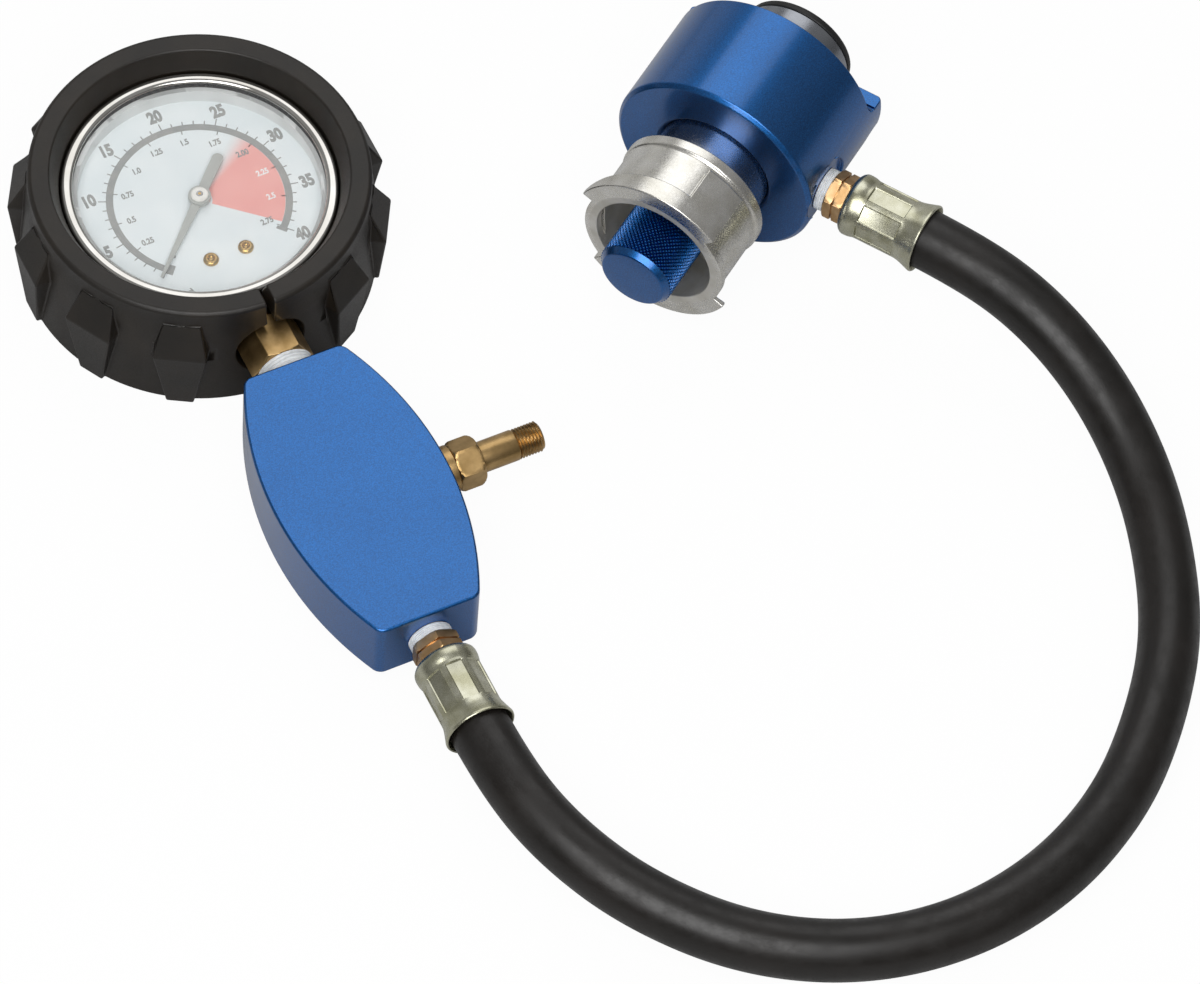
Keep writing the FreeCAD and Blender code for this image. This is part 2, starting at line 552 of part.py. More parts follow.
# The sector is made with its pivot on its own origin. Its teeth reach from just past the mesh point
# to as far round as it will swing.
sector_step = 360 / number(size.sector_circle_teeth)
mesh_from_sector = mesh_bearing + 180
sector_bearings = [mesh_from_sector + sector_step / 2 - count * sector_step
                   for count in range(int(number(size.sector_teeth)))]
sector_arc = teeth("sector_arc", sector_pitch, sector_bearings, 0, number(size.sector_thick))
sector_root = size.gear_module * (size.sector_circle_teeth / 2 - TOOTH_ROOT)
sector_spread = 360 * size.sector_teeth / size.sector_circle_teeth
sector_rim = primitive("Cylinder", "sector_rim", (0, 0, 0),
                       Rotation(Vector(0, 0, 1), sector_bearings[-1] - sector_step / 2),
                       Radius=sector_root, Height=size.sector_thick, Angle=sector_spread)
sector_hub = rod("sector_hub", size.sector_hub, size.sector_thick)
tail_bar = primitive("Box", "tail_bar",
                     (size.tail_width / 2 * math.sin(tail_angle), -size.tail_width / 2 * math.cos(tail_angle), 0),
                     Rotation(Vector(0, 0, 1), math.degrees(tail_angle)),
                     Length=size.tail_length, Width=size.tail_width, Height=size.sector_thick)
tail_x = size.tail_length * math.cos(tail_angle)
tail_y = size.tail_length * math.sin(tail_angle)
tail_eye = rod("tail_eye", size.tail_eye, size.sector_thick, (tail_x, tail_y, 0))
tail_pin = rod("tail_pin", size.link_pin, size.sector_thick + size.link_lift + size.link_thick,
               (tail_x, tail_y, 0))
sector_bore = drilled("sector_bore", size.pivot_radius + size.fit_gap, size.sector_thick, 0, 0, 0)
SPOKE_STEPS = 2.5
window_turn = Rotation(Vector(0, 0, 1), sector_bearings[-1] + (SPOKE_STEPS - 0.5) * sector_step)
window_outer = primitive("Cylinder", "window_outer", (0, 0, -size.sector_thick), window_turn,
                         Radius=sector_root - size.sector_rim_wall, Height=THROUGH * size.sector_thick,
                         Angle=sector_spread - 2 * SPOKE_STEPS * sector_step)
window_inner = drilled("window_inner", size.sector_hub + size.sector_window_margin, size.sector_thick, 0, 0, 0)
sector_window = cut("sector_window", window_outer, window_inner)
sector = cut("sector", fused("sector_whole", sector_rim, sector_hub, sector_arc, tail_bar, tail_eye, tail_pin),
             sector_bore, sector_window)
piece("sector_gear", place(sector, sector_x, sector_y, sector_low))
piece("sector_arbor", rod("sector_pivot", size.pivot_radius, plate_top - pad_top, (sector_x, sector_y, pad_top)))

# Bourdon tube: a flattened tube bent into a C; its root is brazed into the socket block, and its free
# end carries the tip block
tube_half = size.tube_thick / 2
tube_corner = size.tube_corner
tube_inner = size.tube_bend_radius - tube_half
tube_outer = size.tube_bend_radius + tube_half
tube_low = size.tube_level - size.tube_height / 2
tube_high = size.tube_level + size.tube_height / 2
tube_middle = Rotation(Vector(0, 0, 1), number(size.tube_start) + number(size.tube_sweep) / 2)
tube_shell = turned("tube_shell", [
    (tube_inner, tube_low + tube_corner), (tube_inner + tube_corner, tube_low),
    (tube_outer - tube_corner, tube_low), (tube_outer, tube_low + tube_corner),
    (tube_outer, tube_high - tube_corner), (tube_outer - tube_corner, tube_high),
    (tube_inner + tube_corner, tube_high), (tube_inner, tube_high - tube_corner)], size.tube_sweep)
place(tube_shell, turn=tube_middle)
tube_hollow = turned("tube_hollow", [
    (tube_inner + size.tube_wall, tube_low + tube_corner), (tube_outer - size.tube_wall, tube_low + tube_corner),
    (tube_outer - size.tube_wall, tube_high - tube_corner), (tube_inner + size.tube_wall, tube_high - tube_corner)],
    size.tube_sweep)
place(tube_hollow, turn=tube_middle)
piece("bourdon_tube", cut("tube", tube_shell, tube_hollow))

tip_start = math.radians(number(size.tube_start))
tip_top = link_low - size.tip_gap
tip_inner = size.tube_bend_radius - size.tip_breadth / 2
tip_low = tube_low - tube_corner
piece("tube_tip", primitive(
    "Box", "tip_block",
    (tip_inner * math.cos(tip_start) + size.tip_length * math.sin(tip_start),
     tip_inner * math.sin(tip_start) - size.tip_length * math.cos(tip_start), tip_low),
    Rotation(Vector(0, 0, 1), number(size.tube_start)),
    Length=size.tip_breadth, Width=size.tip_length, Height=tip_top - tip_low))

# Link: it hangs on the sector's tail pin and reaches over the tip block
tip_x = size.tube_bend_radius * math.cos(tip_start) + size.tip_length / 2 * math.sin(tip_start)
tip_y = size.tube_bend_radius * math.sin(tip_start) - size.tip_length / 2 * math.cos(tip_start)
link_dx = tip_x - sector_x - tail_x
link_dy = tip_y - sector_y - tail_y
link_bearing = math.atan2(number(link_dy), number(link_dx))
link_bar = primitive("Box", "link_bar",
                     (size.link_width / 2 * math.sin(link_bearing), -size.link_width / 2 * math.cos(link_bearing), 0),
                     Rotation(Vector(0, 0, 1), math.degrees(link_bearing)),
                     Width=size.link_width, Height=size.link_thick,
                     Length=link_dx * math.cos(link_bearing) + link_dy * math.sin(link_bearing))
link_eyes = [rod("link_eye", size.link_eye, size.link_thick),
             rod("link_far_eye", size.link_eye, size.link_thick, (link_dx, link_dy, 0))]
link_bores = [drilled("link_bore", size.link_pin + size.run_gap, size.link_thick, x, y, 0)
              for x, y in ((0, 0), (link_dx, link_dy))]
link = cut("link", fused("link_whole", link_bar, *link_eyes), *link_bores)
piece("movement_link", place(link, sector_x + tail_x, sector_y + tail_y, link_low))

# Plates and pillars
plate_side = [
    (size.plate_half_width, -size.plate_shoulder_low), (size.plate_half_width, size.plate_shoulder_high),
    (size.plate_crown_half, size.plate_high), (-size.plate_crown_half, size.plate_high),
    (-size.plate_left_half, size.plate_left_high), (-size.plate_crown_half, -size.plate_shoulder_low)]
pivot_bore = size.pivot_radius + size.run_gap
movement_screw_low = size.tube_bend_radius - size.movement_screw_inset
base_low = movement_screw_low + size.base_margin
movement_screw_places = screw_places(size.movement_screw_across, movement_screw_low)
movement_screw_bore = size.movement_screw_shank + size.screw_clear


def plate_bores(low, extra):
    """Through holes of a movement plate: both pivots, and what else passes it."""
    spots = [(0, 0, pivot_bore), (sector_x, sector_y, pivot_bore)] + extra
    return [drilled("plate_bore", radius, size.plate_thick, x, y, low) for x, y, radius in spots]


base_foot = [(-size.base_half_width, -base_low), (size.base_half_width, -base_low)]
base_blank = place(plate("base_blank", base_foot + plate_side, size.plate_thick), z=pad_top)
piece("movement_base_plate", cut("base_plate", base_blank, *plate_bores(
    pad_top, [(x, y, movement_screw_bore) for x, y in movement_screw_places])))
hairspring_end = size.hairspring_start + size.hairspring_step * (size.hairspring_halves - 1)
stud_x = -hairspring_end if int(number(size.hairspring_halves)) % 2 else hairspring_end + size.hairspring_step
top_foot_half = size.base_half_width - size.plate_inset
top_foot = [(-top_foot_half, -size.plate_low), (top_foot_half, -size.plate_low)]
top_blank = place(plate("top_blank", top_foot + plate_side, size.plate_thick), z=plate_under)
posts = [rod("dial_post", size.post_radius, post_height, (x, y, plate_top)) for x, y in dial_screw_places]
stud = rod("hairspring_stud", size.hairspring_stud_radius, plate_under - hairspring_low,
           (stud_x, -size.hairspring_stud_radius, hairspring_low))
top_holes = [drilled("post_bore", dial_screw_bore, size.plate_thick + post_height, x, y, plate_under)
             for x, y in dial_screw_places]
piece("movement_top_plate", cut("top_plate", fused("top_whole", top_blank, stud, *posts),
                                *(plate_bores(plate_under, []) + top_holes)))
piece("movement_pillars", grouped("pillar_set", *[
    rod("pillar", size.pillar_radius, size.plate_spacing, (x, y, base_top)) for x, y in PILLAR_PLACES]))
piece("movement_screws", grouped("movement_screw_pair", *[
    screw("movement_screw", (x, y, base_top), size.movement_screw_head, size.movement_screw_head_thick,
          size.movement_screw_shank, size.movement_screw_length) for x, y in movement_screw_places]))

# Hairspring: half turns of strip, each a step wider than the last, on two centres in turn
half_turns = []
for half in range(int(number(size.hairspring_halves))):
    radius = size.hairspring_start + half * size.hairspring_step
    centre = size.hairspring_step if half % 2 else 0
    start = Rotation(Vector(0, 0, 1), 180 if half % 2 else 0)
    strip = size.hairspring_strip / 2
    half_turns.append(cut(
        "half_turn_%d" % half,
        primitive("Cylinder", "strip_outer", (centre, 0, hairspring_low), start,
                  Radius=radius + strip, Height=size.hairspring_width, Angle=180),
        rod("strip_inner", radius - strip, size.hairspring_width, (centre, 0, hairspring_low))))
piece("hairspring", fused("spiral", *half_turns))

# ---------------------------------------------------------------------------------------------------
# Gauge socket: a brass block that carries tube and movement, its neck through the case, a hexagon and
# the pipe thread of the stem
# ---------------------------------------------------------------------------------------------------
block_outer = case_bore - size.block_clear
block_step = base_low + size.block_shelf
stem_hex_start = size.case_radius + size.stem_hex_clear
stem_hex_end = stem_hex_start + size.stem_hex_length
manifold_start = stem_hex_end + size.stem_tape_length
stem_end = manifold_start + size.stem_thread_length
block_low = primitive("Box", "block_low", (-size.block_width / 2, -block_outer, case_inside),
                      Length=size.block_width, Width=block_outer - block_inner, Height=pad_top - case_inside)
block_high = primitive("Box", "block_high", (-size.block_width / 2, -block_outer, pad_top),
                       Length=size.block_width, Width=block_outer - block_step,
                       Height=size.stem_height + size.block_rise - pad_top)
stem_corner = size.stem_across_flats / math.sqrt(3)
stem_bevel = stem_corner - size.stem_across_flats / 2
stem_turned = turned("stem_turned", [
    (0, block_step), (size.neck_radius, block_step), (size.neck_radius, stem_hex_start),
    (stem_corner - stem_bevel, stem_hex_start), (stem_corner, stem_hex_start + stem_bevel / 2),
    (stem_corner, stem_hex_end - stem_bevel / 2), (stem_corner - stem_bevel, stem_hex_end),
    (size.stem_thread_radius, stem_hex_end), (size.stem_thread_radius, stem_end), (0, stem_end)])
stem = hexagon_cut("stem", stem_turned, size.stem_across_flats, stem_hex_start, size.stem_hex_length)
place(stem, z=size.stem_height, turn=ALONG_MINUS_Y)

# The passage: along the stem into the block, down to the tube's level, and across to the tube's root
feed_y = (block_step + block_outer) / -2
tube_end = math.radians(number(size.tube_start + size.tube_sweep))
cross_x = size.tube_bend_radius * math.cos(tube_end)
cross_y = size.tube_bend_radius * math.sin(tube_end) - feed_y
cross_bearing = math.atan2(number(cross_y), number(cross_x))
cross_length = cross_x * math.cos(cross_bearing) + cross_y * math.sin(cross_bearing)
cross_turn = Rotation(Vector(0, 0, 1), Vector(math.cos(cross_bearing), math.sin(cross_bearing), 0))
socket_passage = [
    rod("stem_passage", size.stem_bore, stem_end + feed_y, (0, -stem_end, size.stem_height), ALONG_PLUS_Y),
    rod("down_drill", size.feed_bore, size.stem_height - size.tube_level, (0, feed_y, size.tube_level)),
    rod("cross_drill", size.feed_bore, cross_length, (0, feed_y, size.tube_level), cross_turn)]
socket_holes = [rod("socket_hole", case_screw_bore, size.case_screw_length + size.case_wall,
                    (x, y, case_inside - size.case_wall)) for x, y in case_screw_places]
socket_holes += [rod("pad_hole", movement_screw_bore, size.movement_screw_length,
                     (x, y, base_top - size.movement_screw_length)) for x, y in movement_screw_places]
piece("gauge_socket", cut("socket", fused("socket_whole", block_low, block_high, stem), tube_shell,
                          *(socket_passage + socket_holes)))
piece("case_screws", grouped("case_screw_pair", *[
    screw("case_screw", (x, y, case_back), size.case_screw_head, size.case_screw_head_thick,
          size.case_screw_shank, size.case_screw_length, upside_down=True) for x, y in case_screw_places]))


def tape(label, thread_radius, low, high):
    """Sealing tape wound on a pipe thread, where it shows between hexagon and port."""
    inner = thread_radius + size.fit_gap
    outer = inner + size.tape_thick
    return turned(label, [(inner, low), (outer, low), (outer, high), (inner, high)])


piece("stem_tape", place(tape("stem_tape", size.stem_thread_radius, stem_hex_end + size.screw_clear,
                              manifold_start - size.screw_clear), z=size.stem_height, turn=ALONG_MINUS_Y))

# ---------------------------------------------------------------------------------------------------
# Manifold block: a barrel-shaped bar with a port in each end, one in its side, and channels between
# ---------------------------------------------------------------------------------------------------
near_end = -manifold_start
far_end = near_end - size.manifold_length
middle = near_end - size.manifold_length / 2
valve_y = middle + size.valve_shift
bulge = size.manifold_mid_half - size.manifold_end_half
side_radius = (size.manifold_length * size.manifold_length / 4 + bulge * bulge) / (2 * bulge)
manifold_low = size.stem_height - size.manifold_thick / 2


def barrel_outline(body):
    """Two flat ends joined by two bulging sides."""
    sketch = body.newObject("Sketcher::SketchObject", "barrel_outline")
    floor_plane = [feature for feature in body.Origin.OriginFeatures if feature.Role == "XY_Plane"][0]
    sketch.AttachmentSupport = [(floor_plane, "")]
    sketch.MapMode = "FlatFace"
    half, waist, near, far, centre = [
        number(amount) for amount in (size.manifold_end_half, size.manifold_mid_half, near_end, far_end, middle)]
    sketch.addGeometry(Part.LineSegment(Vector(-half, near, 0), Vector(half, near, 0)))
    sketch.addGeometry(Part.Arc(Vector(half, far, 0), Vector(waist, centre, 0), Vector(half, near, 0)))
    sketch.addGeometry(Part.LineSegment(Vector(half, far, 0), Vector(-half, far, 0)))
    sketch.addGeometry(Part.Arc(Vector(-half, near, 0), Vector(-waist, centre, 0), Vector(-half, far, 0)))
    for line, side, end in ((0, 1, near_end), (2, -1, far_end)):
        for point, across in ((1, -side * size.manifold_end_half), (2, side * size.manifold_end_half)):
            for kind, amount in (("DistanceX", across), ("DistanceY", end)):
                rule = sketch.addConstraint(Sketcher.Constraint(kind, line, point, number(amount)))
                sketch.setExpression("Constraints[%d]" % rule, amount.text)
    for arc, line_at_start, line_at_end in ((1, (2, 1), (0, 2)), (3, (0, 1), (2, 2))):
        sketch.addConstraint(Sketcher.Constraint("Coincident", arc, 1, *line_at_start))
        sketch.addConstraint(Sketcher.Constraint("Coincident", arc, 2, *line_at_end))
        rule = sketch.addConstraint(Sketcher.Constraint("Radius", arc, number(side_radius)))
        sketch.setExpression("Constraints[%d]" % rule, side_radius.text)
    return sketch


barrel = doc.addObject("PartDesign::Body", "barrel")
barrel_sketch = barrel_outline(barrel)
barrel_pad = barrel.newObject("PartDesign::Pad", "barrel_pad")
barrel_pad.Profile = barrel_sketch
bind(barrel_pad, "Length", size.manifold_thick)


def upright(edge):
    ends = [vertex.Point for vertex in edge.Vertexes]
    return len(ends) == 2 and (ends[0] - ends[1]).cross(Vector(0, 0, 1)).Length < 1e-6


def lies_flat(edge):
    return edge.BoundBox.ZLength < 1e-6


soften(barrel, "Fillet", size.manifold_corner, upright)
soften(barrel, "Chamfer", size.manifold_bevel, lies_flat)
place(barrel, z=manifold_low)
stem_port = rod("stem_port", size.stem_thread_radius + size.thread_clear,
                size.stem_thread_length + size.port_spare, (0, near_end, size.stem_height), ALONG_MINUS_Y)
pipe_port_radius = size.pipe_thread_radius + size.thread_clear
pipe_port_depth = size.pipe_thread_length + size.port_spare
hose_port = rod("hose_port", pipe_port_radius, pipe_port_depth, (0, far_end, size.stem_height), ALONG_PLUS_Y)
valve_port = rod("valve_port", pipe_port_radius, size.manifold_mid_half,
                 (size.manifold_mid_half - pipe_port_depth, valve_y, size.stem_height), ALONG_PLUS_X)
long_channel = rod("long_channel", size.channel_radius, size.manifold_length - pipe_port_depth,
                   (0, near_end, size.stem_height), ALONG_MINUS_Y)
cross_channel = rod("cross_channel", size.channel_radius, size.manifold_mid_half - pipe_port_depth,
                    (0, valve_y, size.stem_height), ALONG_PLUS_X)
piece("manifold_block", cut("manifold", barrel, stem_port, hose_port, valve_port, long_channel, cross_channel))

# ---------------------------------------------------------------------------------------------------
# Air valve: heights along its own axis, which starts at the manifold's centre line and points along +X
# ---------------------------------------------------------------------------------------------------
valve_inner = size.manifold_mid_half - size.pipe_thread_length
collar_low = size.manifold_mid_half + size.valve_seat
hex_low = collar_low + size.valve_collar_length
hex_high = hex_low + size.valve_hex_length
thread_low = hex_high + size.valve_stem_length
valve_end = thread_low + size.valve_thread_length
mouth_floor = valve_end - size.valve_mouth_depth
valve_corner = size.valve_across_flats / math.sqrt(3)
valve_bevel = valve_corner - size.valve_across_flats / 2
pin_top = valve_end - size.pin_recess
barrel_top = pin_top - size.pin_travel + size.spring_wire
barrel_low = hex_high + size.core_start
seal_low = barrel_low - size.fit_gap - size.pin_seal_thick
chamber_low = seal_low - 1.5 * size.pin_travel
AIR_VALVE = (0, valve_y, size.stem_height)
valve_turned = turned("valve_turned", [
    (size.valve_bore, valve_inner), (size.pipe_thread_radius, valve_inner), (size.pipe_thread_radius, collar_low),
    (size.valve_collar_radius, collar_low), (size.valve_collar_radius, hex_low),
    (valve_corner - valve_bevel, hex_low), (valve_corner, hex_low + valve_bevel / 2),
    (valve_corner, hex_high - valve_bevel / 2), (valve_corner - valve_bevel, hex_high),
    (size.valve_stem_radius, hex_high), (size.valve_stem_radius, thread_low),
    (size.valve_thread_radius, thread_low), (size.valve_thread_radius, valve_end - size.valve_thread_bevel),
    (size.valve_thread_radius - size.valve_thread_bevel, valve_end), (size.valve_mouth, valve_end),
    (size.valve_mouth, mouth_floor), (size.valve_chamber, mouth_floor), (size.valve_chamber, chamber_low),
    (size.valve_bore, chamber_low)])
valve = hexagon_cut("valve", valve_turned, size.valve_across_flats, hex_low, size.valve_hex_length)
piece("valve_body", place(valve, *AIR_VALVE, turn=ALONG_PLUS_X))
spring_low = barrel_low + size.spring_seat
spring_high = mouth_floor + size.spring_head
core_profile = [
    (size.core_bore, barrel_low), (size.valve_chamber - size.run_gap, barrel_low),
    (size.valve_chamber - size.run_gap, mouth_floor), (size.valve_mouth - size.thread_clear, mouth_floor),
    (size.valve_mouth - size.thread_clear, barrel_top), (size.core_bore, barrel_top),
    (size.core_bore, spring_high + 2 * size.pin_travel), (size.core_chamber, spring_high + 2 * size.pin_travel),
    (size.core_chamber, spring_low), (size.core_bore, spring_low)]
piece("valve_core", place(turned("valve_insert", core_profile), *AIR_VALVE, turn=ALONG_PLUS_X))
pin_profile = [
    (0, chamber_low + size.pin_travel / 2), (size.pin_radius, chamber_low + size.pin_travel / 2),
    (size.pin_radius, seal_low), (size.pin_seal_radius, seal_low),
    (size.pin_seal_radius, seal_low + size.pin_seal_thick), (size.pin_radius, seal_low + size.pin_seal_thick),
    (size.pin_radius, spring_high),
    (size.pin_collar_radius, spring_high), (size.pin_collar_radius, spring_high + size.pin_radius),
    (size.pin_radius, spring_high + size.pin_radius), (size.pin_radius, pin_top), (0, pin_top)]
piece("valve_pin", place(turned("pin", pin_profile), *AIR_VALVE, turn=ALONG_PLUS_X))

spring_length = number(spring_high) - number(spring_low) - 4 * number(size.spring_wire)
helix = Part.makeHelix(spring_length / number(size.spring_turns), spring_length, number(size.spring_radius))
wire_start = Vector(number(size.spring_radius), 0, 0)
wire_section = Part.Wire(Part.makeCircle(number(size.spring_wire), wire_start, Vector(0, 1, 0)))
valve_spring = doc.addObject("Part::Feature", "coil")
valve_spring.Shape = Part.Wire(helix.Edges).makePipeShell([wire_section], True, True)
place(valve_spring, spring_low + 2 * size.spring_wire, valve_y, size.stem_height, turn=ALONG_PLUS_X)
piece("valve_spring", valve_spring)

# ---------------------------------------------------------------------------------------------------
# Hose ends: heights along the port's axis from the face that the fitting is screwed into
# ---------------------------------------------------------------------------------------------------
fit_hex_low = size.fitting_gap
fit_hex_high = fit_hex_low + size.fitting_hex
fit_corner = size.fitting_across_flats / math.sqrt(3)
groove_low = fit_hex_low + (size.fitting_hex - size.fitting_groove) / 2
groove_high = groove_low + size.fitting_groove
groove_radius = size.fitting_across_flats / 2 - size.fitting_groove_depth
bulge_low = fit_hex_high + size.ferrule_cap
bulge_high = fit_hex_high + size.ferrule_bulge_length
waist_low = bulge_high + size.ferrule_cap / 2
waist_high = waist_low + size.ferrule_waist_length
ferrule_end = fit_hex_high + size.ferrule_length
hose_start = ferrule_end - size.ferrule_mouth_depth
head_port_flat = size.head_radius - size.head_flat_depth
head_turn = Rotation(Vector(0, 0, 1), number(size.head_yaw))
HEAD_AXIS = head_turn.multVec(Vector(1, 0, 0))
HEAD_PORT = head_turn.multVec(Vector(0, -1, 0))
ALONG_HEAD = Rotation(Vector(0, 0, 1), HEAD_PORT, HEAD_AXIS, "XYZ")
ALONG_PORT = Rotation(Vector(0, 0, 1), -HEAD_AXIS, HEAD_PORT, "XYZ")
HEAD = (size.head_x, size.head_y, size.head_radius)
HEAD_PORT_SPOT = (size.head_x + size.head_port_along * HEAD_AXIS.x + head_port_flat * HEAD_PORT.x,
                  size.head_y + size.head_port_along * HEAD_AXIS.y + head_port_flat * HEAD_PORT.y,
                  size.head_radius)
MANIFOLD_PORT_SPOT = (0, far_end, size.stem_height)


def hose_fitting(label):
    """Brass fitting: pipe thread, grooved hexagon, and a barbed nipple for the hose."""
    barb_top = size.nipple_radius + size.barb_height
    bevel = size.fitting_bevel
    corners = [
        (size.fitting_bore, -size.pipe_thread_length), (size.pipe_thread_radius, -size.pipe_thread_length),
        (size.pipe_thread_radius, fit_hex_low), (fit_corner - bevel, fit_hex_low),
        (fit_corner, fit_hex_low + bevel / 2), (fit_corner, groove_low), (groove_radius, groove_low),
        (groove_radius, groove_high), (fit_corner, groove_high), (fit_corner, fit_hex_high - bevel / 2),
        (fit_corner - bevel, fit_hex_high), (size.nipple_radius, fit_hex_high)]
    for barb in range(1, 4):
        foot = fit_hex_high + barb * size.barb_pitch
        corners += [(barb_top, foot), (size.nipple_radius, foot + size.screw_clear)]
    corners += [(size.nipple_radius, hose_start - size.run_gap), (size.fitting_bore, hose_start - size.run_gap)]
    return hexagon_cut(label, turned(label + "_turned", corners), size.fitting_across_flats, fit_hex_low,
                       size.fitting_hex)


def hose_ferrule(label):
    """Crimped steel ferrule: a rounded cap, a bulge, a waist with pressed-in flats, and a flared mouth."""
    nipple_bore = size.nipple_radius + size.barb_height + size.fit_gap
    crimp_low = fit_hex_high + size.ferrule_cap
    hose_bore = size.hose_radius + size.screw_clear
    body = turned(label + "_turned", [
        (nipple_bore, fit_hex_high), (size.ferrule_cap_radius, fit_hex_high), (size.ferrule_bulge, bulge_low),
        (size.ferrule_bulge, bulge_high), (size.ferrule_waist, waist_low), (size.ferrule_waist, waist_high),
        (size.ferrule_flare, ferrule_end - size.ferrule_rim),
        (size.ferrule_flare - size.ferrule_rim / 2, ferrule_end),
        (size.ferrule_flare - size.ferrule_rim, ferrule_end), (hose_bore, ferrule_end - size.ferrule_mouth_flare),
        (hose_bore, hose_start), (size.ferrule_crimp_bore, hose_start), (size.ferrule_crimp_bore, crimp_low),
        (nipple_bore, crimp_low)])
    bulge_rings = rings((size.ferrule_bulge, bulge_low), (size.ferrule_bulge, bulge_high))
    soften(body, "Fillet", size.ferrule_cap / 2, bulge_rings)
    presses = []
    for count in range(int(number(size.press_count))):
        bearing = 2 * math.pi * count / number(size.press_count)
        corner_x = size.press_reach * math.cos(bearing) + size.press_width / 2 * math.sin(bearing)
        corner_y = size.press_reach * math.sin(bearing) - size.press_width / 2 * math.cos(bearing)
        presses.append(primitive("Box", label + "_press", (corner_x, corner_y, waist_low + size.press_inset),
                                 Rotation(Vector(0, 0, 1), math.degrees(bearing)),
                                 Length=size.ferrule_flare, Width=size.press_width, Height=size.press_length))
    return cut(label, body, *presses)


def hose_end(label):
    """The end of the hose, squeezed between nipple and ferrule."""
    low = fit_hex_high + size.ferrule_cap + size.fit_gap
    inner = size.nipple_radius + size.barb_height + size.fit_gap
    outer = size.ferrule_crimp_bore - size.fit_gap
    return turned(label, [(inner, low), (outer, low), (outer, hose_start), (inner, hose_start)])


for where, spot, turn in (("manifold", MANIFOLD_PORT_SPOT, ALONG_MINUS_Y), ("head", HEAD_PORT_SPOT, ALONG_PORT)):
    piece("fitting_" + where, place(hose_fitting("fitting_%s_blank" % where), *spot, turn=turn))
    piece("tape_" + where, place(tape("tape_%s_wrap" % where, size.pipe_thread_radius, size.screw_clear,
                                      fit_hex_low - size.screw_clear), *spot, turn=turn))
    piece("ferrule_" + where, place(hose_ferrule("ferrule_%s_blank" % where), *spot, turn=turn))
    piece("hose_end_" + where, place(hose_end("hose_end_%s_sleeve" % where), *spot, turn=turn))

# ---------------------------------------------------------------------------------------------------
# Hose: straight runs joined by arcs as large as the runs allow. It leaves the manifold level, sinks to
# the floor, goes round in one wide loop and climbs to the head's port.
# ---------------------------------------------------------------------------------------------------
hose_first = Vector(*[number(offset) for offset in MANIFOLD_PORT_SPOT]) + Vector(0, -number(hose_start), 0)
hose_last = Vector(*[number(offset) for offset in HEAD_PORT_SPOT]) + HEAD_PORT * number(hose_start)
HOSE_ROUTE = [
    (4.7, -199.2, 15.8), (15.9, -220.6, 13.0), (34.0, -239.3, 10.0), (56.9, -251.6, 8.0), (82.6, -256.5, 7.6),
    (109.2, -253.3, 7.6), (133.5, -242.0, 7.6), (153.6, -223.8, 7.6), (168.0, -200.6, 7.6), (177.8, -174.8, 8.4),
    (181.3, -152.9, 11.8), (180.1, -132.5, 17.5), (173.9, -113.3, 23.9)]
ARC_SHARE = 0.45


def rounded_route(points):
    """Edges of the hose's centre line, and the radius of each arc."""
    edges = []
    radii = []
    reached = points[0]
    for before, corner, after in zip(points, points[1:], points[2:]):
        inward = (before - corner).normalize()
        outward = (after - corner).normalize()
        turn = math.pi - inward.getAngle(outward)
        shorter = min((before - corner).Length, (after - corner).Length)
        tangent = ARC_SHARE * shorter
        radius = tangent / math.tan(turn / 2)
        middle_way = (inward + outward).normalize()
        centre = corner + middle_way * (radius / math.cos(turn / 2))
        arc_start = corner + inward * tangent
        arc_end = corner + outward * tangent
        edges.append(Part.LineSegment(reached, arc_start).toShape())
        edges.append(Part.Arc(arc_start, centre - middle_way * radius, arc_end).toShape())
        radii.append(radius)
        reached = arc_end
    edges.append(Part.LineSegment(reached, points[-1]).toShape())
    return edges, radii


route = [hose_first, hose_first - Vector(0, number(size.hose_level_run), 0)]
route += [Vector(*point) for point in HOSE_ROUTE]
route += [hose_last + HEAD_PORT * number(size.hose_level_run), hose_last]
hose_edges, hose_radii = rounded_route(route)
hose_line = Part.Wire(hose_edges)
hose_section = Part.Wire(Part.makeCircle(number(size.hose_radius), hose_first, Vector(0, -1, 0)))
hose = doc.addObject("Part::Feature", "hose_tube")
hose.Shape = hose_line.makePipeShell([hose_section], True, False)
place(hose)
piece("hose", hose)
print("hose length %.1f, arc radii %s" % (hose_line.Length, ", ".join("%.0f" % radius for radius in hose_radii)))
print("hose runs", ", ".join("%.1f" % (after - before).Length for before, after in zip(route, route[1:])))
print("hose volume share of section times length: %.4f" % (
    hose.Shape.Volume / (math.pi * number(size.hose_radius) ** 2 * hose_line.Length)))

# ---------------------------------------------------------------------------------------------------
# Test head, in a frame of its own: Z along the head from near face to nose, Y along the hose port,
# X up; it lies on its side on the floor.
# ---------------------------------------------------------------------------------------------------
core_bore = size.core_radius + size.run_gap
nose_bore = size.core_nose_radius + size.run_gap
head_turned = turned("head_turned", [
    (core_bore + size.head_mouth_bevel, 0), (size.head_radius - size.head_bevel, 0),
    (size.head_radius, size.head_bevel), (size.head_radius, size.head_length), (nose_bore, size.head_length),
    (nose_bore, size.head_step_along), (core_bore, size.head_step_along), (core_bore, size.head_mouth_bevel)])
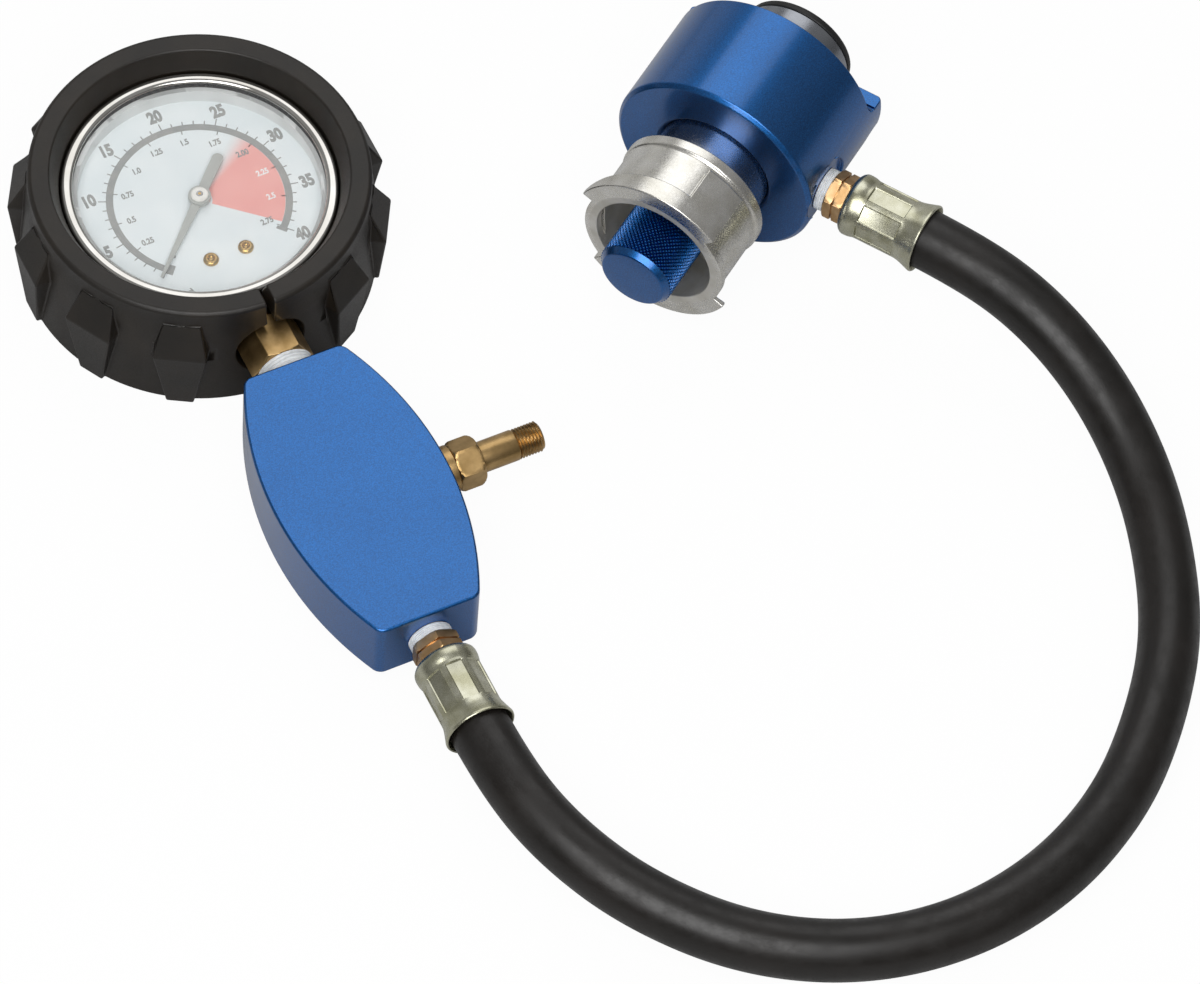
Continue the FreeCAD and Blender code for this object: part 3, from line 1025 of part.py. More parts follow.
# Two hooked claws stand on the far face, in line with the hose port and opposite it: a turned ring
# crossed by a bar, which spreads into rounded roots where it meets the face
claw_foot = size.head_length - size.claw_bevel
claw_end = size.head_length + size.claw_reach
claw_inner = size.head_radius - size.claw_wall
claw_lip_inner = claw_inner - size.claw_hook
claw_ring = turned("claw_ring", [
    (claw_inner, claw_foot), (size.head_radius, claw_foot), (size.head_radius, claw_end - size.claw_bevel),
    (size.head_radius - size.claw_bevel, claw_end), (claw_lip_inner, claw_end),
    (claw_lip_inner, claw_end - size.claw_tip_thick), (claw_inner, claw_end - size.claw_root_thick)])
ROOT_SHARE = 0.9
root_half = size.claw_width / 2 + ROOT_SHARE * size.claw_root_round
claw_bar = primitive("Box", "claw_bar", (-size.claw_width / 2, -size.head_radius, claw_foot),
                     Length=size.claw_width, Width=2 * size.head_radius, Height=claw_end - claw_foot)
root_bar = primitive("Box", "root_bar", (-root_half, -size.head_radius, claw_foot),
                     Length=2 * root_half, Width=2 * size.head_radius,
                     Height=size.claw_bevel + ROOT_SHARE * size.claw_root_round)
root_rounds = [rod("root_round", size.claw_root_round, 2 * size.head_radius,
                   (side * (size.claw_width / 2 + size.claw_root_round), -size.head_radius,
                    size.head_length + size.claw_root_round), ALONG_PLUS_Y)
               for side in (-1, 1)]
claws = common("claws", claw_ring, fused("claw_cross", claw_bar, cut("claw_root", root_bar, *root_rounds)))
port_flat = rod("port_flat", size.head_flat_radius, size.head_radius,
                (0, head_port_flat, size.head_port_along), ALONG_PLUS_Y)
port_hole = rod("port_hole", pipe_port_radius, pipe_port_depth,
                (0, head_port_flat - pipe_port_depth, size.head_port_along), ALONG_PLUS_Y)
port_feed = rod("port_feed", size.channel_radius, head_port_flat, (0, 0, size.head_port_along), ALONG_PLUS_Y)
head_body = cut("head", fused("head_whole", head_turned, claws), port_flat, port_hole, port_feed)
piece("head_body", place(head_body, *HEAD, turn=ALONG_HEAD))

# Core tube: it turns in the head body, fed through a groove between two O-rings
neck_back = -size.neck_gap
thread_start = neck_back - size.neck_floor
feed_low = size.head_port_along - size.feed_groove_width / 2
ring_floor = size.core_nose_radius - size.ring_groove_depth
ring_groove_low = size.head_length + size.run_gap
ring_groove_high = ring_groove_low + size.ring_thick + 2 * size.run_gap
seal_end = size.core_nose_end + size.seal_length
oring_middles = [size.head_port_along - size.oring_offset, size.head_port_along + size.oring_offset]


def groove(low, width, depth):
    """Corners of a square groove in the core tube, from low to high."""
    floor = size.core_radius - depth
    return [(size.core_radius, low), (floor, low), (floor, low + width), (size.core_radius, low + width)]


core_profile = [(size.throat_radius, thread_start), (size.core_thread_radius, thread_start),
                (size.core_thread_radius, neck_back), (size.core_radius, neck_back)]
core_profile += groove(oring_middles[0] - size.oring_groove_width / 2, size.oring_groove_width,
                       size.oring_groove_depth)
core_profile += groove(feed_low, size.feed_groove_width, size.feed_groove_depth)
core_profile += groove(oring_middles[1] - size.oring_groove_width / 2, size.oring_groove_width,
                       size.oring_groove_depth)
core_profile += [
    (size.core_radius, size.head_step_along - size.run_gap),
    (size.core_nose_radius, size.head_step_along - size.run_gap), (size.core_nose_radius, ring_groove_low),
    (ring_floor, ring_groove_low), (ring_floor, ring_groove_high), (size.core_nose_radius, ring_groove_high),
    (size.core_nose_radius, size.core_nose_end), (size.seal_spigot, size.core_nose_end),
    (size.seal_spigot, seal_end - size.seal_bevel), (size.seal_spigot - size.seal_bevel, seal_end),
    (size.core_bore_radius, seal_end), (size.core_bore_radius, thread_start + size.throat_depth),
    (size.throat_radius, thread_start + size.throat_depth)]
core_turned = turned("core_turned", core_profile)
feed_drill = rod("feed_drill", size.feed_hole, size.core_radius, (0, 0, size.head_port_along), ALONG_PLUS_Y)
piece("core_tube", place(cut("core", core_turned, feed_drill), *HEAD, turn=ALONG_HEAD))
oring_radius = size.core_radius - size.oring_groove_depth + size.oring_section + size.fit_gap
piece("core_orings", place(grouped("oring_pair", *[
    primitive("Torus", "oring", (0, 0, spot), Radius1=oring_radius, Radius2=size.oring_section)
    for spot in oring_middles]), *HEAD, turn=ALONG_HEAD))
clip_blank = turned("clip_blank", [
    (ring_floor + size.fit_gap, ring_groove_low + size.run_gap),
    (ring_floor + size.ring_width, ring_groove_low + size.run_gap),
    (ring_floor + size.ring_width, ring_groove_low + size.run_gap + size.ring_thick),
    (ring_floor + size.fit_gap, ring_groove_low + size.run_gap + size.ring_thick)])
clip_mouth = primitive("Box", "clip_mouth", (0, -size.ring_mouth / 2, ring_groove_low - size.ring_thick),
                       Length=2 * size.core_radius, Width=size.ring_mouth, Height=4 * size.ring_thick)
piece("retaining_ring", place(cut("clip", clip_blank, clip_mouth), *HEAD, turn=ALONG_HEAD))
piece("nose_seal", place(turned("nose_ring", [
    (size.seal_spigot + size.fit_gap, size.core_nose_end + size.fit_gap),
    (size.seal_radius, size.core_nose_end + size.fit_gap), (size.seal_radius, seal_end - size.seal_bevel),
    (size.seal_radius - size.seal_bevel, seal_end), (size.seal_spigot + size.fit_gap, seal_end)]),
    *HEAD, turn=ALONG_HEAD))

# Filler neck: a cast cup whose flange carries two ramped cams, each with a two-faced stop at its end,
# for a radiator cap's ears
neck_face = neck_back - size.neck_length
seat_along = thread_start
neck_thread_bore = size.core_thread_radius + size.screw_clear
neck_cup = turned("neck_cup", [
    (neck_thread_bore, neck_back), (size.neck_rim, neck_back), (size.neck_rim, neck_back - size.neck_rim_length),
    (size.neck_outer, neck_back - size.neck_rim_length - size.neck_rim_slope), (size.neck_outer, neck_face),
    (size.neck_inner, neck_face), (size.neck_inner, seat_along), (neck_thread_bore, seat_along)])
neck_flange = rod("neck_flange", size.neck_flange_radius, size.neck_flange_thick, (0, 0, neck_face))


def cam(name, turned_by):
    """One cam: part of a thick disc, with its back cut away along a tilted plane so that it ramps."""
    start = number(size.stop_bearing) - number(size.stop_spread) / 2 - number(size.cam_spread) + turned_by
    blank = primitive("Cylinder", name + "_blank", (0, 0, neck_face), Rotation(Vector(0, 0, 1), start),
                      Radius=size.cam_radius, Height=size.cam_thick, Angle=size.cam_spread)
    high = math.radians(number(size.cam_high_bearing) + turned_by)
    tilt = Rotation(Vector(0, 1, 0), -number(size.cam_tilt))
    slope = primitive("Box", name + "_slope",
                      (2 * size.cam_radius * math.sin(high), -2 * size.cam_radius * math.cos(high),
                       neck_face - size.cam_sink),
                      Rotation(Vector(0, 0, 1), math.degrees(high)).multiply(tilt),
                      Length=2 * size.cam_radius, Width=4 * size.cam_radius, Height=size.cam_radius)
    return cut(name, blank, slope)


def stop(name, turned_by):
    """One stop: a wedge from the neck's axis, whose two outer faces meet in a fold."""
    bearings = [math.radians(number(size.stop_bearing) + turned_by + side * number(size.stop_spread) / 2)
                for side in (-1, 0, 1)]
    corners = [(size.cam_radius * math.cos(bearing), size.cam_radius * math.sin(bearing))
               for bearing in bearings]
    return place(plate(name, [(0, 0)] + corners, size.stop_length), z=neck_face)


cams_and_stops = []
for side, turned_by in (("upper", 0), ("lower", 180)):
    cams_and_stops += [cam("cam_" + side, turned_by), stop("stop_" + side, turned_by)]
neck_bore = rod("neck_bore", size.neck_inner, size.neck_length - size.neck_floor, (0, 0, neck_face))
neck_throat = rod("neck_throat", neck_thread_bore, size.neck_length, (0, 0, neck_face))
neck = cut("neck", fused("neck_whole", neck_cup, neck_flange, *cams_and_stops), neck_bore, neck_throat)
piece("filler_neck", place(neck, *HEAD, turn=ALONG_HEAD))

# Plug: a knurled knob with a threaded shank; its washer presses an O-ring on the neck's seat
ring_top = seat_along - size.seat_gap
washer_low = ring_top - 2 * size.plug_ring_section - size.fit_gap - size.washer_thick
collar_under = washer_low - size.screw_clear
collar_over = collar_under - size.knob_collar_thick
knob_face = neck_face - size.knob_stand
plug_end = thread_start + size.plug_thread_length
piece("plug_knob", place(turned("knob", [
    (0, knob_face), (size.knob_face_radius, knob_face), (size.knob_radius, knob_face + size.knob_bevel_length),
    (size.knob_radius, collar_over), (size.knob_collar, collar_over), (size.knob_collar, collar_under),
    (size.plug_thread_radius, collar_under), (size.plug_thread_radius, plug_end), (0, plug_end)]),
    *HEAD, turn=ALONG_HEAD))
piece("plug_washer", place(turned("washer", [
    (size.washer_bore, washer_low), (size.knob_collar, washer_low),
    (size.knob_collar, washer_low + size.washer_thick), (size.washer_bore, washer_low + size.washer_thick)]),
    *HEAD, turn=ALONG_HEAD))
piece("plug_oring", place(primitive("Torus", "plug_ring", Radius1=size.plug_ring_radius,
                                    Radius2=size.plug_ring_section),
                          size.head_x + (ring_top - size.plug_ring_section) * HEAD_AXIS.x,
                          size.head_y + (ring_top - size.plug_ring_section) * HEAD_AXIS.y,
                          size.head_radius, turn=ALONG_HEAD))

# ---------------------------------------------------------------------------------------------------
# Check and write
# ---------------------------------------------------------------------------------------------------
doc.recompute()
for thing in doc.Objects:
    if "Invalid" in thing.State or "Error" in thing.State:
        raise ValueError("%s is in state %s" % (thing.Label, thing.State))
os.makedirs("parts", exist_ok=True)
for thing in pieces:
    if thing.Shape.isNull() or not thing.Shape.isValid() or not thing.Shape.Solids:
        raise ValueError("%s has no sound shape" % thing.Label)
    thing.Shape.exportStep("parts/%s.step" % thing.Label)
print("%d pieces, %d solids" % (len(pieces), sum(len(thing.Shape.Solids) for thing in pieces)))
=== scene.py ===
import json
import math
import random

import bmesh
import bpy
from mathutils import Matrix, Quaternion, Vector

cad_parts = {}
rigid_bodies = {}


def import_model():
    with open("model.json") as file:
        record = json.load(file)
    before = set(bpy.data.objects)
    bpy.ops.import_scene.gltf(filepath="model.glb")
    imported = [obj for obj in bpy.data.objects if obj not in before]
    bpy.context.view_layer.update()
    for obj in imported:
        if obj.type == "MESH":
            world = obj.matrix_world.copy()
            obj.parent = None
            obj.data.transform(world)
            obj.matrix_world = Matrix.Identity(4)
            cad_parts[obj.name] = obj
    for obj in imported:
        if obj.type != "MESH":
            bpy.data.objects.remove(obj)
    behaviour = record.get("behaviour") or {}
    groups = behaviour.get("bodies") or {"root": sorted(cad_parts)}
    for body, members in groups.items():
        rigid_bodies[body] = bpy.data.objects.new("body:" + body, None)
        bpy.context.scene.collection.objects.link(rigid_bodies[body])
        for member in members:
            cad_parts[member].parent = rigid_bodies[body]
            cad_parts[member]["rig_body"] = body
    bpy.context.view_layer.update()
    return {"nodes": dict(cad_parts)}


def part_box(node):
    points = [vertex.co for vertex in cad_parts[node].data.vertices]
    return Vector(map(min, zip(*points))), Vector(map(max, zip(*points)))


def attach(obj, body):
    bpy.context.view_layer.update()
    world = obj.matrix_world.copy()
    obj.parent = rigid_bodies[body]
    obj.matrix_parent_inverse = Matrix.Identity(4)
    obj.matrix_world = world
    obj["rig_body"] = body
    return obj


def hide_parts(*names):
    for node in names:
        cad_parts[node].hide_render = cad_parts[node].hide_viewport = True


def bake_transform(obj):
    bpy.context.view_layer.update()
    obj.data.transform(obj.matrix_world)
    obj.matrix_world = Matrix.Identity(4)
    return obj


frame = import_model()

# --------------------------------------------------------------------------------------------------
# The bench: a pale floor under a wide soft lamp, which polished tops mirror, and a key lamp near
# the camera. The sky is dim but for a sweep behind, so that metal shows light and dark. The floor
# is darker in metal than to the eye, as white paper under black flags is. Sizes are millimetres.
# --------------------------------------------------------------------------------------------------
MM = 0.001
scene = bpy.context.scene
scene.view_settings.view_transform = "Standard"


def linear(colour):
    """A colour written as sRGB hex, as the linear values that a socket takes."""
    parts = [int(colour[place:place + 2], 16) / 255 for place in (1, 3, 5)]
    return tuple(part / 12.92 if part <= 0.04045 else ((part + 0.055) / 1.055) ** 2.4
                 for part in parts) + (1.0,)


def add_node(tree, kind, settings=None, inputs=None):
    """Add one node, set its own settings, and fill its inputs with values or link them to sockets.

    A node given for an input stands for its first output."""
    node = tree.nodes.new(kind)
    for name, value in (settings or {}).items():
        setattr(node, name, value)
    for name, value in (inputs or {}).items():
        if isinstance(value, bpy.types.Node):
            value = value.outputs[0]
        if isinstance(value, bpy.types.NodeSocket):
            tree.links.new(value, node.inputs[name])
        else:
            node.inputs[name].default_value = value
    return node


def new_object(name, data):
    """A new object in the scene, at the origin."""
    thing = bpy.data.objects.new(name, data)
    scene.collection.objects.link(thing)
    return thing


CAMERA_SPOT = (-455.681, -989.728, 1586.332)
CAMERA_TILT = (32.7437, -2.9456, -25.6755)
CAMERA_LENS = 232.066
CAMERA_SENSOR = 36
camera_data = bpy.data.cameras.new("camera")
camera_data.sensor_fit = "HORIZONTAL"
camera_data.sensor_width = CAMERA_SENSOR
camera_data.lens = CAMERA_LENS
camera = new_object("camera", camera_data)
camera.location = Vector(CAMERA_SPOT) * MM
camera.rotation_euler = [math.radians(angle) for angle in CAMERA_TILT]
scene.camera = camera

FLOOR_REACH = 4000
floor_mesh = bpy.data.meshes.new("floor")
floor_corners = [(x * FLOOR_REACH * MM, y * FLOOR_REACH * MM, 0)
                 for x, y in ((-1, -1), (1, -1), (1, 1), (-1, 1))]
floor_mesh.from_pydata(floor_corners, [], [(0, 1, 2, 3)])
floor = new_object("floor", floor_mesh)
# White paint that gives off its own white to the eye, and less of it to metal
FLOOR_WHITE = "#f6f6f6"
FLOOR_OWN_LIGHT = 0.96
FLOOR_IN_METAL = 0.44
WHITE = (1, 1, 1, 1)
floor_paint = bpy.data.materials.new("floor_paint")
floor_paint.use_nodes = True
floor_tree = floor_paint.node_tree
floor_tree.nodes.clear()
ray = add_node(floor_tree, "ShaderNodeLightPath").outputs
seen = add_node(floor_tree, "ShaderNodeMath", {"operation": "MAXIMUM"},
                {0: ray["Is Camera Ray"], 1: ray["Is Transmission Ray"]})
seen_share = add_node(floor_tree, "ShaderNodeMath", {"operation": "MULTIPLY"},
                      {0: seen, 1: FLOOR_OWN_LIGHT})
own_light = add_node(floor_tree, "ShaderNodeMath", {"operation": "MULTIPLY_ADD"},
                     {0: ray["Is Glossy Ray"], 1: FLOOR_IN_METAL, 2: seen_share})
matt = add_node(floor_tree, "ShaderNodeBsdfDiffuse", {}, {"Color": linear(FLOOR_WHITE)})
glow = add_node(floor_tree, "ShaderNodeEmission", {}, {"Color": WHITE, "Strength": seen})
floor_mix = add_node(floor_tree, "ShaderNodeMixShader", {}, {0: own_light, 1: matt, 2: glow})
add_node(floor_tree, "ShaderNodeOutputMaterial", {}, {"Surface": floor_mix})
floor_mesh.materials.append(floor_paint)

# The sky is white to the eye; what it lights grows from low to high, with a sweep low down behind
SKY_LOW = 0.14
SKY_HIGH = 0.3
SKY_BACK = 0.35
sky = bpy.data.worlds.new("studio")
sky.use_nodes = True
sky_tree = sky.node_tree
sky_tree.nodes.clear()
sky_ray = add_node(sky_tree, "ShaderNodeLightPath").outputs
sky_way = add_node(sky_tree, "ShaderNodeTexCoord").outputs["Generated"]
sky_split = add_node(sky_tree, "ShaderNodeSeparateXYZ", {}, {0: sky_way}).outputs
sky_height = add_node(sky_tree, "ShaderNodeMapRange", {"interpolation_type": "SMOOTHSTEP"},
                      {"Value": sky_split["Z"], "From Min": 0.05, "From Max": 0.85,
                       "To Min": SKY_LOW, "To Max": SKY_HIGH})
sky_behind = add_node(sky_tree, "ShaderNodeMapRange", {"interpolation_type": "SMOOTHSTEP"},
                      {"Value": sky_split["Y"], "From Min": 0.35, "From Max": 0.85,
                       "To Max": SKY_BACK})
sky_level = add_node(sky_tree, "ShaderNodeMapRange", {"interpolation_type": "SMOOTHSTEP"},
                     {"Value": sky_split["Z"], "From Min": 0.2, "From Max": 0.6,
                      "To Min": 1.0, "To Max": 0.0})
sky_sum = add_node(sky_tree, "ShaderNodeMath", {"operation": "MULTIPLY_ADD"},
                   {0: sky_behind, 1: sky_level, 2: sky_height})
sky_glow = add_node(sky_tree, "ShaderNodeBackground", {}, {"Color": WHITE, "Strength": sky_sum})
sky_white = add_node(sky_tree, "ShaderNodeBackground", {}, {"Color": WHITE, "Strength": 1.0})
sky_mix = add_node(sky_tree, "ShaderNodeMixShader", {},
                   {0: sky_ray["Is Camera Ray"], 1: sky_glow, 2: sky_white})
add_node(sky_tree, "ShaderNodeOutputWorld", {}, {"Surface": sky_mix})
scene.world = sky

LAMPS = {
    # name: place, side lengths, turn about its own axis in degrees, and watts
    "overhead_lamp": ((430, 590, 1000), (1000, 860), 34, 3.1),
    "key_lamp": ((-350, -650, 1020), (950, 950), 0, 11.5),
}
LAMP_AIM = (70, -100, 0)
for lamp_name, (spot, sides, roll, watts) in LAMPS.items():
    lamp_data = bpy.data.lights.new(lamp_name, "AREA")
    lamp_data.shape = "RECTANGLE"
    lamp_data.size, lamp_data.size_y = sides[0] * MM, sides[1] * MM
    lamp_data.energy = watts
    lamp = new_object(lamp_name, lamp_data)
    lamp.location = Vector(spot) * MM
    facing = (Vector(LAMP_AIM) - Vector(spot)).to_track_quat("-Z", "Y")
    lamp.rotation_euler = (facing @ Quaternion((0, 0, 1), math.radians(roll))).to_euler()


def finish(name, tones, blotch, roughness, grit, relief, metallic=0.0, shares=None):
    """A surface that drifts between two tones and two roughnesses over blotches, with a relief.

    Blotch and grit are the real spacings, and relief the real height. Returns the material with
    its tree, its shader, its relief node and its place on the object, for a section to build on."""
    made = bpy.data.materials.new(name)
    made.use_nodes = True
    tree = made.node_tree
    shader = tree.nodes["Principled BSDF"]
    shader.inputs["Metallic"].default_value = metallic
    for share, amount in (shares or {}).items():
        shader.inputs[share].default_value = amount
    place = add_node(tree, "ShaderNodeTexCoord").outputs["Object"]
    drift = add_node(tree, "ShaderNodeTexNoise", {},
                     {"Vector": place, "Scale": 1 / (blotch * MM), "Detail": 5.0})
    spread = add_node(tree, "ShaderNodeMapRange", {},
                      {"Value": drift, "From Min": 0.35, "From Max": 0.65})
    tone = add_node(tree, "ShaderNodeMix", {"data_type": "RGBA"},
                    {0: spread, 6: linear(tones[0]), 7: linear(tones[1])})
    grains = add_node(tree, "ShaderNodeTexNoise", {},
                      {"Vector": place, "Scale": 1 / (grit * MM), "Detail": 3.0})
    rough = add_node(tree, "ShaderNodeMapRange", {},
                     {"Value": grains, "From Min": 0.3, "From Max": 0.7,
                      "To Min": roughness[0], "To Max": roughness[1]})
    bump = add_node(tree, "ShaderNodeBump", {},
                    {"Height": grains, "Distance": relief * MM, "Strength": 1.0})
    tree.links.new(tone.outputs[2], shader.inputs["Base Color"])
    tree.links.new(rough.outputs[0], shader.inputs["Roughness"])
    tree.links.new(bump.outputs[0], shader.inputs["Normal"])
    return made, tree, shader, bump, place


def fit(thing, *nodes):
    """Put a finished piece in the place of CAD nodes: it rides on their body, and they are hidden.
    """
    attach(thing, frame["nodes"][nodes[0]]["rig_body"])
    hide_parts(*nodes)
    return thing


def shaped(name, shape, surface):
    """The mesh that a finished shape gives, in one surface."""
    mesh = bpy.data.meshes.new(name)
    shape.to_mesh(mesh)
    shape.free()
    mesh.materials.append(surface)
    return mesh


def merged(name, node, surface, corner=32):
    """A copy of a CAD piece with its loose triangles merged back to whole faces."""
    shape = bmesh.new()
    shape.from_mesh(frame["nodes"][node].data)
    bmesh.ops.remove_doubles(shape, verts=shape.verts, dist=1e-6)
    bmesh.ops.dissolve_limit(shape, angle_limit=math.radians(0.5),
                             verts=shape.verts, edges=shape.edges)
    for edge in shape.edges:
        edge.smooth = len(edge.link_faces) == 2 and edge.calc_face_angle() < math.radians(corner)
    for face in shape.faces:
        face.smooth = True
        face.material_index = 0
    return new_object(name, shaped(name, shape, surface))


def dressed(name, node, surface, round_off, segments=2, corner=32):
    """A copy of a CAD piece, in its place, with the edges sharper than a corner rounded off."""
    thing = merged(name, node, surface, corner)
    bevel = thing.modifiers.new("rounded_edges", "BEVEL")
    bevel.width = round_off * MM
    bevel.segments = segments
    bevel.limit_method = "ANGLE"
    bevel.angle_limit = math.radians(corner)
    bevel.harden_normals = True
    bevel.use_clamp_overlap = False
    return fit(thing, node)


# Matt and nearly black, with a faint brown bloom and the fine grain of the mould
boot_rubber = finish("moulded_nitrile_rubber", ("#17130e", "#221c15"), 14,
                     (0.38, 0.52), 0.35, 0.012)[0]
dressed("boot", "rubber_boot", boot_rubber, 0.45, 3, 14)

# --------------------------------------------------------------------------------------------------
# Gauge case: a cup drawn from zinc-plated steel sheet, with its two screws. The boot hides it, but
# for a glimpse through the slot and the stem opening.
# --------------------------------------------------------------------------------------------------


def wear(nodes, surface):
    """Give CAD nodes that keep their own shape a finish."""
    for node in nodes:
        for slot in frame["nodes"][node].material_slots:
            slot.material = surface


# Zinc plate is a bluish grey that shines softly
zinc_plate = finish("zinc_plated_sheet_steel", ("#a9adb2", "#c3c6c9"), 9,
                    (0.25, 0.38), 0.25, 0.002, 1.0)[0]
wear(["gauge_case", "case_screws"], zinc_plate)

# --------------------------------------------------------------------------------------------------
# Movement: stamped plates, hobbed gears and turned screws behind the dial, a drawn and flattened
# Bourdon tube and a hairspring. The dial hides them, but for the end of the pointer's arbor.
# --------------------------------------------------------------------------------------------------
# Cut brass is bright and yellow; phosphor bronze is redder and duller; the small pins are steel
machined_brass = finish("machined_brass", ("#a98445", "#c9a765"), 5,
                        (0.22, 0.36), 0.18, 0.003, 1.0)[0]
phosphor_bronze = finish("phosphor_bronze", ("#9c6b3a", "#b98a52"), 6,
                         (0.28, 0.42), 0.2, 0.002, 1.0)[0]
ground_steel = finish("ground_steel", ("#8f9296", "#aeb1b4"), 4,
                      (0.2, 0.34), 0.15, 0.002, 1.0)[0]
wear(["movement_base_plate", "movement_top_plate", "movement_pillars", "pinion_shaft",
      "sector_gear", "tube_tip"], machined_brass)
wear(["bourdon_tube", "hairspring"], phosphor_bronze)
wear(["sector_arbor", "movement_link", "movement_screws"], ground_steel)

# --------------------------------------------------------------------------------------------------
# Dial: a thin aluminium disc, painted white and printed in grey: a band with marks for each pound
# per square inch outside it, bar marks inside it, numerals, and a red wedge that fades in.
# --------------------------------------------------------------------------------------------------
# Matt paint, a cold white, under inks that are as matt; the grey one is a tint, not a black
dial_paint = finish("matt_white_dial_paint", ("#e6eef0", "#eff5f6"), 12,
                    (0.45, 0.55), 0.2, 0.001)[0]
dressed("dial_disc", "dial", dial_paint, 0.08, 1, 40)
grey_ink = finish("grey_dial_ink", ("#8f918f", "#9b9b97"), 3, (0.4, 0.5), 0.1, 0.001)[0]
white_ink = finish("white_dial_ink", ("#f4efee", "#fbf8f7"), 3, (0.4, 0.5), 0.1, 0.001)[0]
dial_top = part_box("dial")[1].z / MM
INK_THICK = 0.03
ZERO_ANGLE = 225
FULL_ANGLE = -45
FULL_PSI = 40
PSI_STEP = (ZERO_ANGLE - FULL_ANGLE) / FULL_PSI
PSI_PER_BAR = 14.504
BAND_INNER = 21.2
BAND_OUTER = 23.0
BAND_END_INNER = BAND_INNER - 0.7
BAND_END_OUTER = BAND_OUTER + 0.3
BEFORE_ZERO = 4.6
BEYOND_FULL = 2.6


def plain_mesh(name, thing):
    """The evaluated shape of an object as a plain mesh of its own, in place of the object."""
    graph = bpy.context.evaluated_depsgraph_get()
    mesh = bpy.data.meshes.new_from_object(thing.evaluated_get(graph))
    source = thing.data
    bpy.data.objects.remove(thing)
    if isinstance(source, bpy.types.Mesh):
        bpy.data.meshes.remove(source)
    mesh.name = name
    return mesh


def new_tree(name, sockets):
    """An empty Geometry Nodes tree with these named inputs; returns it with what they give."""
    tree = bpy.data.node_groups.new(name, "GeometryNodeTree")
    tree.interface.new_socket("Geometry", in_out="OUTPUT", socket_type="NodeSocketGeometry")
    for socket, kind in sockets.items():
        tree.interface.new_socket(socket, in_out="INPUT", socket_type="NodeSocket" + kind)
    return tree, tree.nodes.new("NodeGroupInput").outputs


def spot_about(tree, reach, angle, height):
    """The nodes that give the point at a reach and an angle about Z, and a height along it."""
    ways = [add_node(tree, "ShaderNodeMath", {"operation": way}, {0: angle})
            for way in ("COSINE", "SINE")]
    flat = [add_node(tree, "ShaderNodeMath", {"operation": "MULTIPLY"}, {0: reach, 1: way})
            for way in ways]
    return add_node(tree, "ShaderNodeCombineXYZ", {}, {0: flat[0], 1: flat[1], 2: height})


def marks_tree():
    """Geometry Nodes: bars on an arc, each a step on from the last, with every so many longer."""
    tree, given = new_tree("dial_marks", {
        "Count": "Int", "Inner radius": "Float", "Start angle": "Float", "Step angle": "Float",
        "Length": "Float", "Long length": "Float", "Long every": "Int", "Width": "Float",
        "Thickness": "Float", "Level": "Float", "Ink": "Material"})
    count = add_node(tree, "GeometryNodePoints", {}, {"Count": given["Count"]})
    index = add_node(tree, "GeometryNodeInputIndex")
    turn = add_node(tree, "ShaderNodeMath", {"operation": "MULTIPLY_ADD"},
                    {0: index, 1: given["Step angle"], 2: given["Start angle"]})
    rest = add_node(tree, "ShaderNodeMath", {"operation": "MODULO"},
                    {0: index, 1: given["Long every"]})
    is_long = add_node(tree, "FunctionNodeCompare",
                       {"data_type": "FLOAT", "operation": "LESS_THAN"}, {0: rest, 1: 0.5})
    length = add_node(tree, "GeometryNodeSwitch", {"input_type": "FLOAT"},
                      {0: is_long, 1: given["Length"], 2: given["Long length"]})
    half = add_node(tree, "ShaderNodeMath", {"operation": "MULTIPLY_ADD"},
                    {0: length, 1: 0.5, 2: given["Inner radius"]})
    spot = spot_about(tree, half, turn, given["Level"])
    placed = add_node(tree, "GeometryNodeSetPosition", {}, {"Geometry": count, "Position": spot})
    bar = add_node(tree, "GeometryNodeMeshCube", {}, {"Size": (1, 1, 1)})
    size = add_node(tree, "ShaderNodeCombineXYZ", {},
                    {0: length, 1: given["Width"], 2: given["Thickness"]})
    facing = add_node(tree, "ShaderNodeCombineXYZ", {}, {2: turn})
    bars = add_node(tree, "GeometryNodeInstanceOnPoints", {},
                    {"Points": placed, "Instance": bar, "Rotation": facing, "Scale": size})
    real = add_node(tree, "GeometryNodeRealizeInstances", {}, {0: bars})
    inked = add_node(tree, "GeometryNodeSetMaterial", {},
                     {"Geometry": real, "Material": given["Ink"]})
    add_node(tree, "NodeGroupOutput", {}, {0: inked})
    return tree


def grown(name, tree, values):
    """The plain mesh that a Geometry Nodes tree makes with these values for its named inputs."""
    thing = new_object(name, bpy.data.meshes.new(name + "_seed"))
    maker = thing.modifiers.new("maker", "NODES")
    maker.node_group = tree
    for socket in tree.interface.items_tree:
        if socket.in_out == "INPUT" and socket.name in values:
            maker[socket.identifier] = values[socket.name]
    return plain_mesh(name, thing)


def joined(name, meshes):
    """Several meshes as one object."""
    shape = bmesh.new()
    surfaces = []
    for mesh in meshes:
        held = len(shape.faces)
        shape.from_mesh(mesh)
        shape.faces.ensure_lookup_table()
        for face in shape.faces[held:]:
            surface = mesh.materials[face.material_index]
            if surface not in surfaces:
                surfaces.append(surface)
            face.material_index = surfaces.index(surface)
        bpy.data.meshes.remove(mesh)
    whole = bpy.data.meshes.new(name)
    shape.to_mesh(whole)
    shape.free()
    for surface in surfaces:
        whole.materials.append(surface)
    return new_object(name, whole)


def about(reach, angle, height):
    """The point at a reach and an angle about the Z axis, and a height along it."""
    return reach * math.cos(angle), reach * math.sin(angle), height


def bridge(shape, low, high):
    """Faces between two rings of corners."""
    for column in range(len(low)):
        beside = (column + 1) % len(low)
        shape.faces.new((low[column], low[beside], high[beside], high[column]))


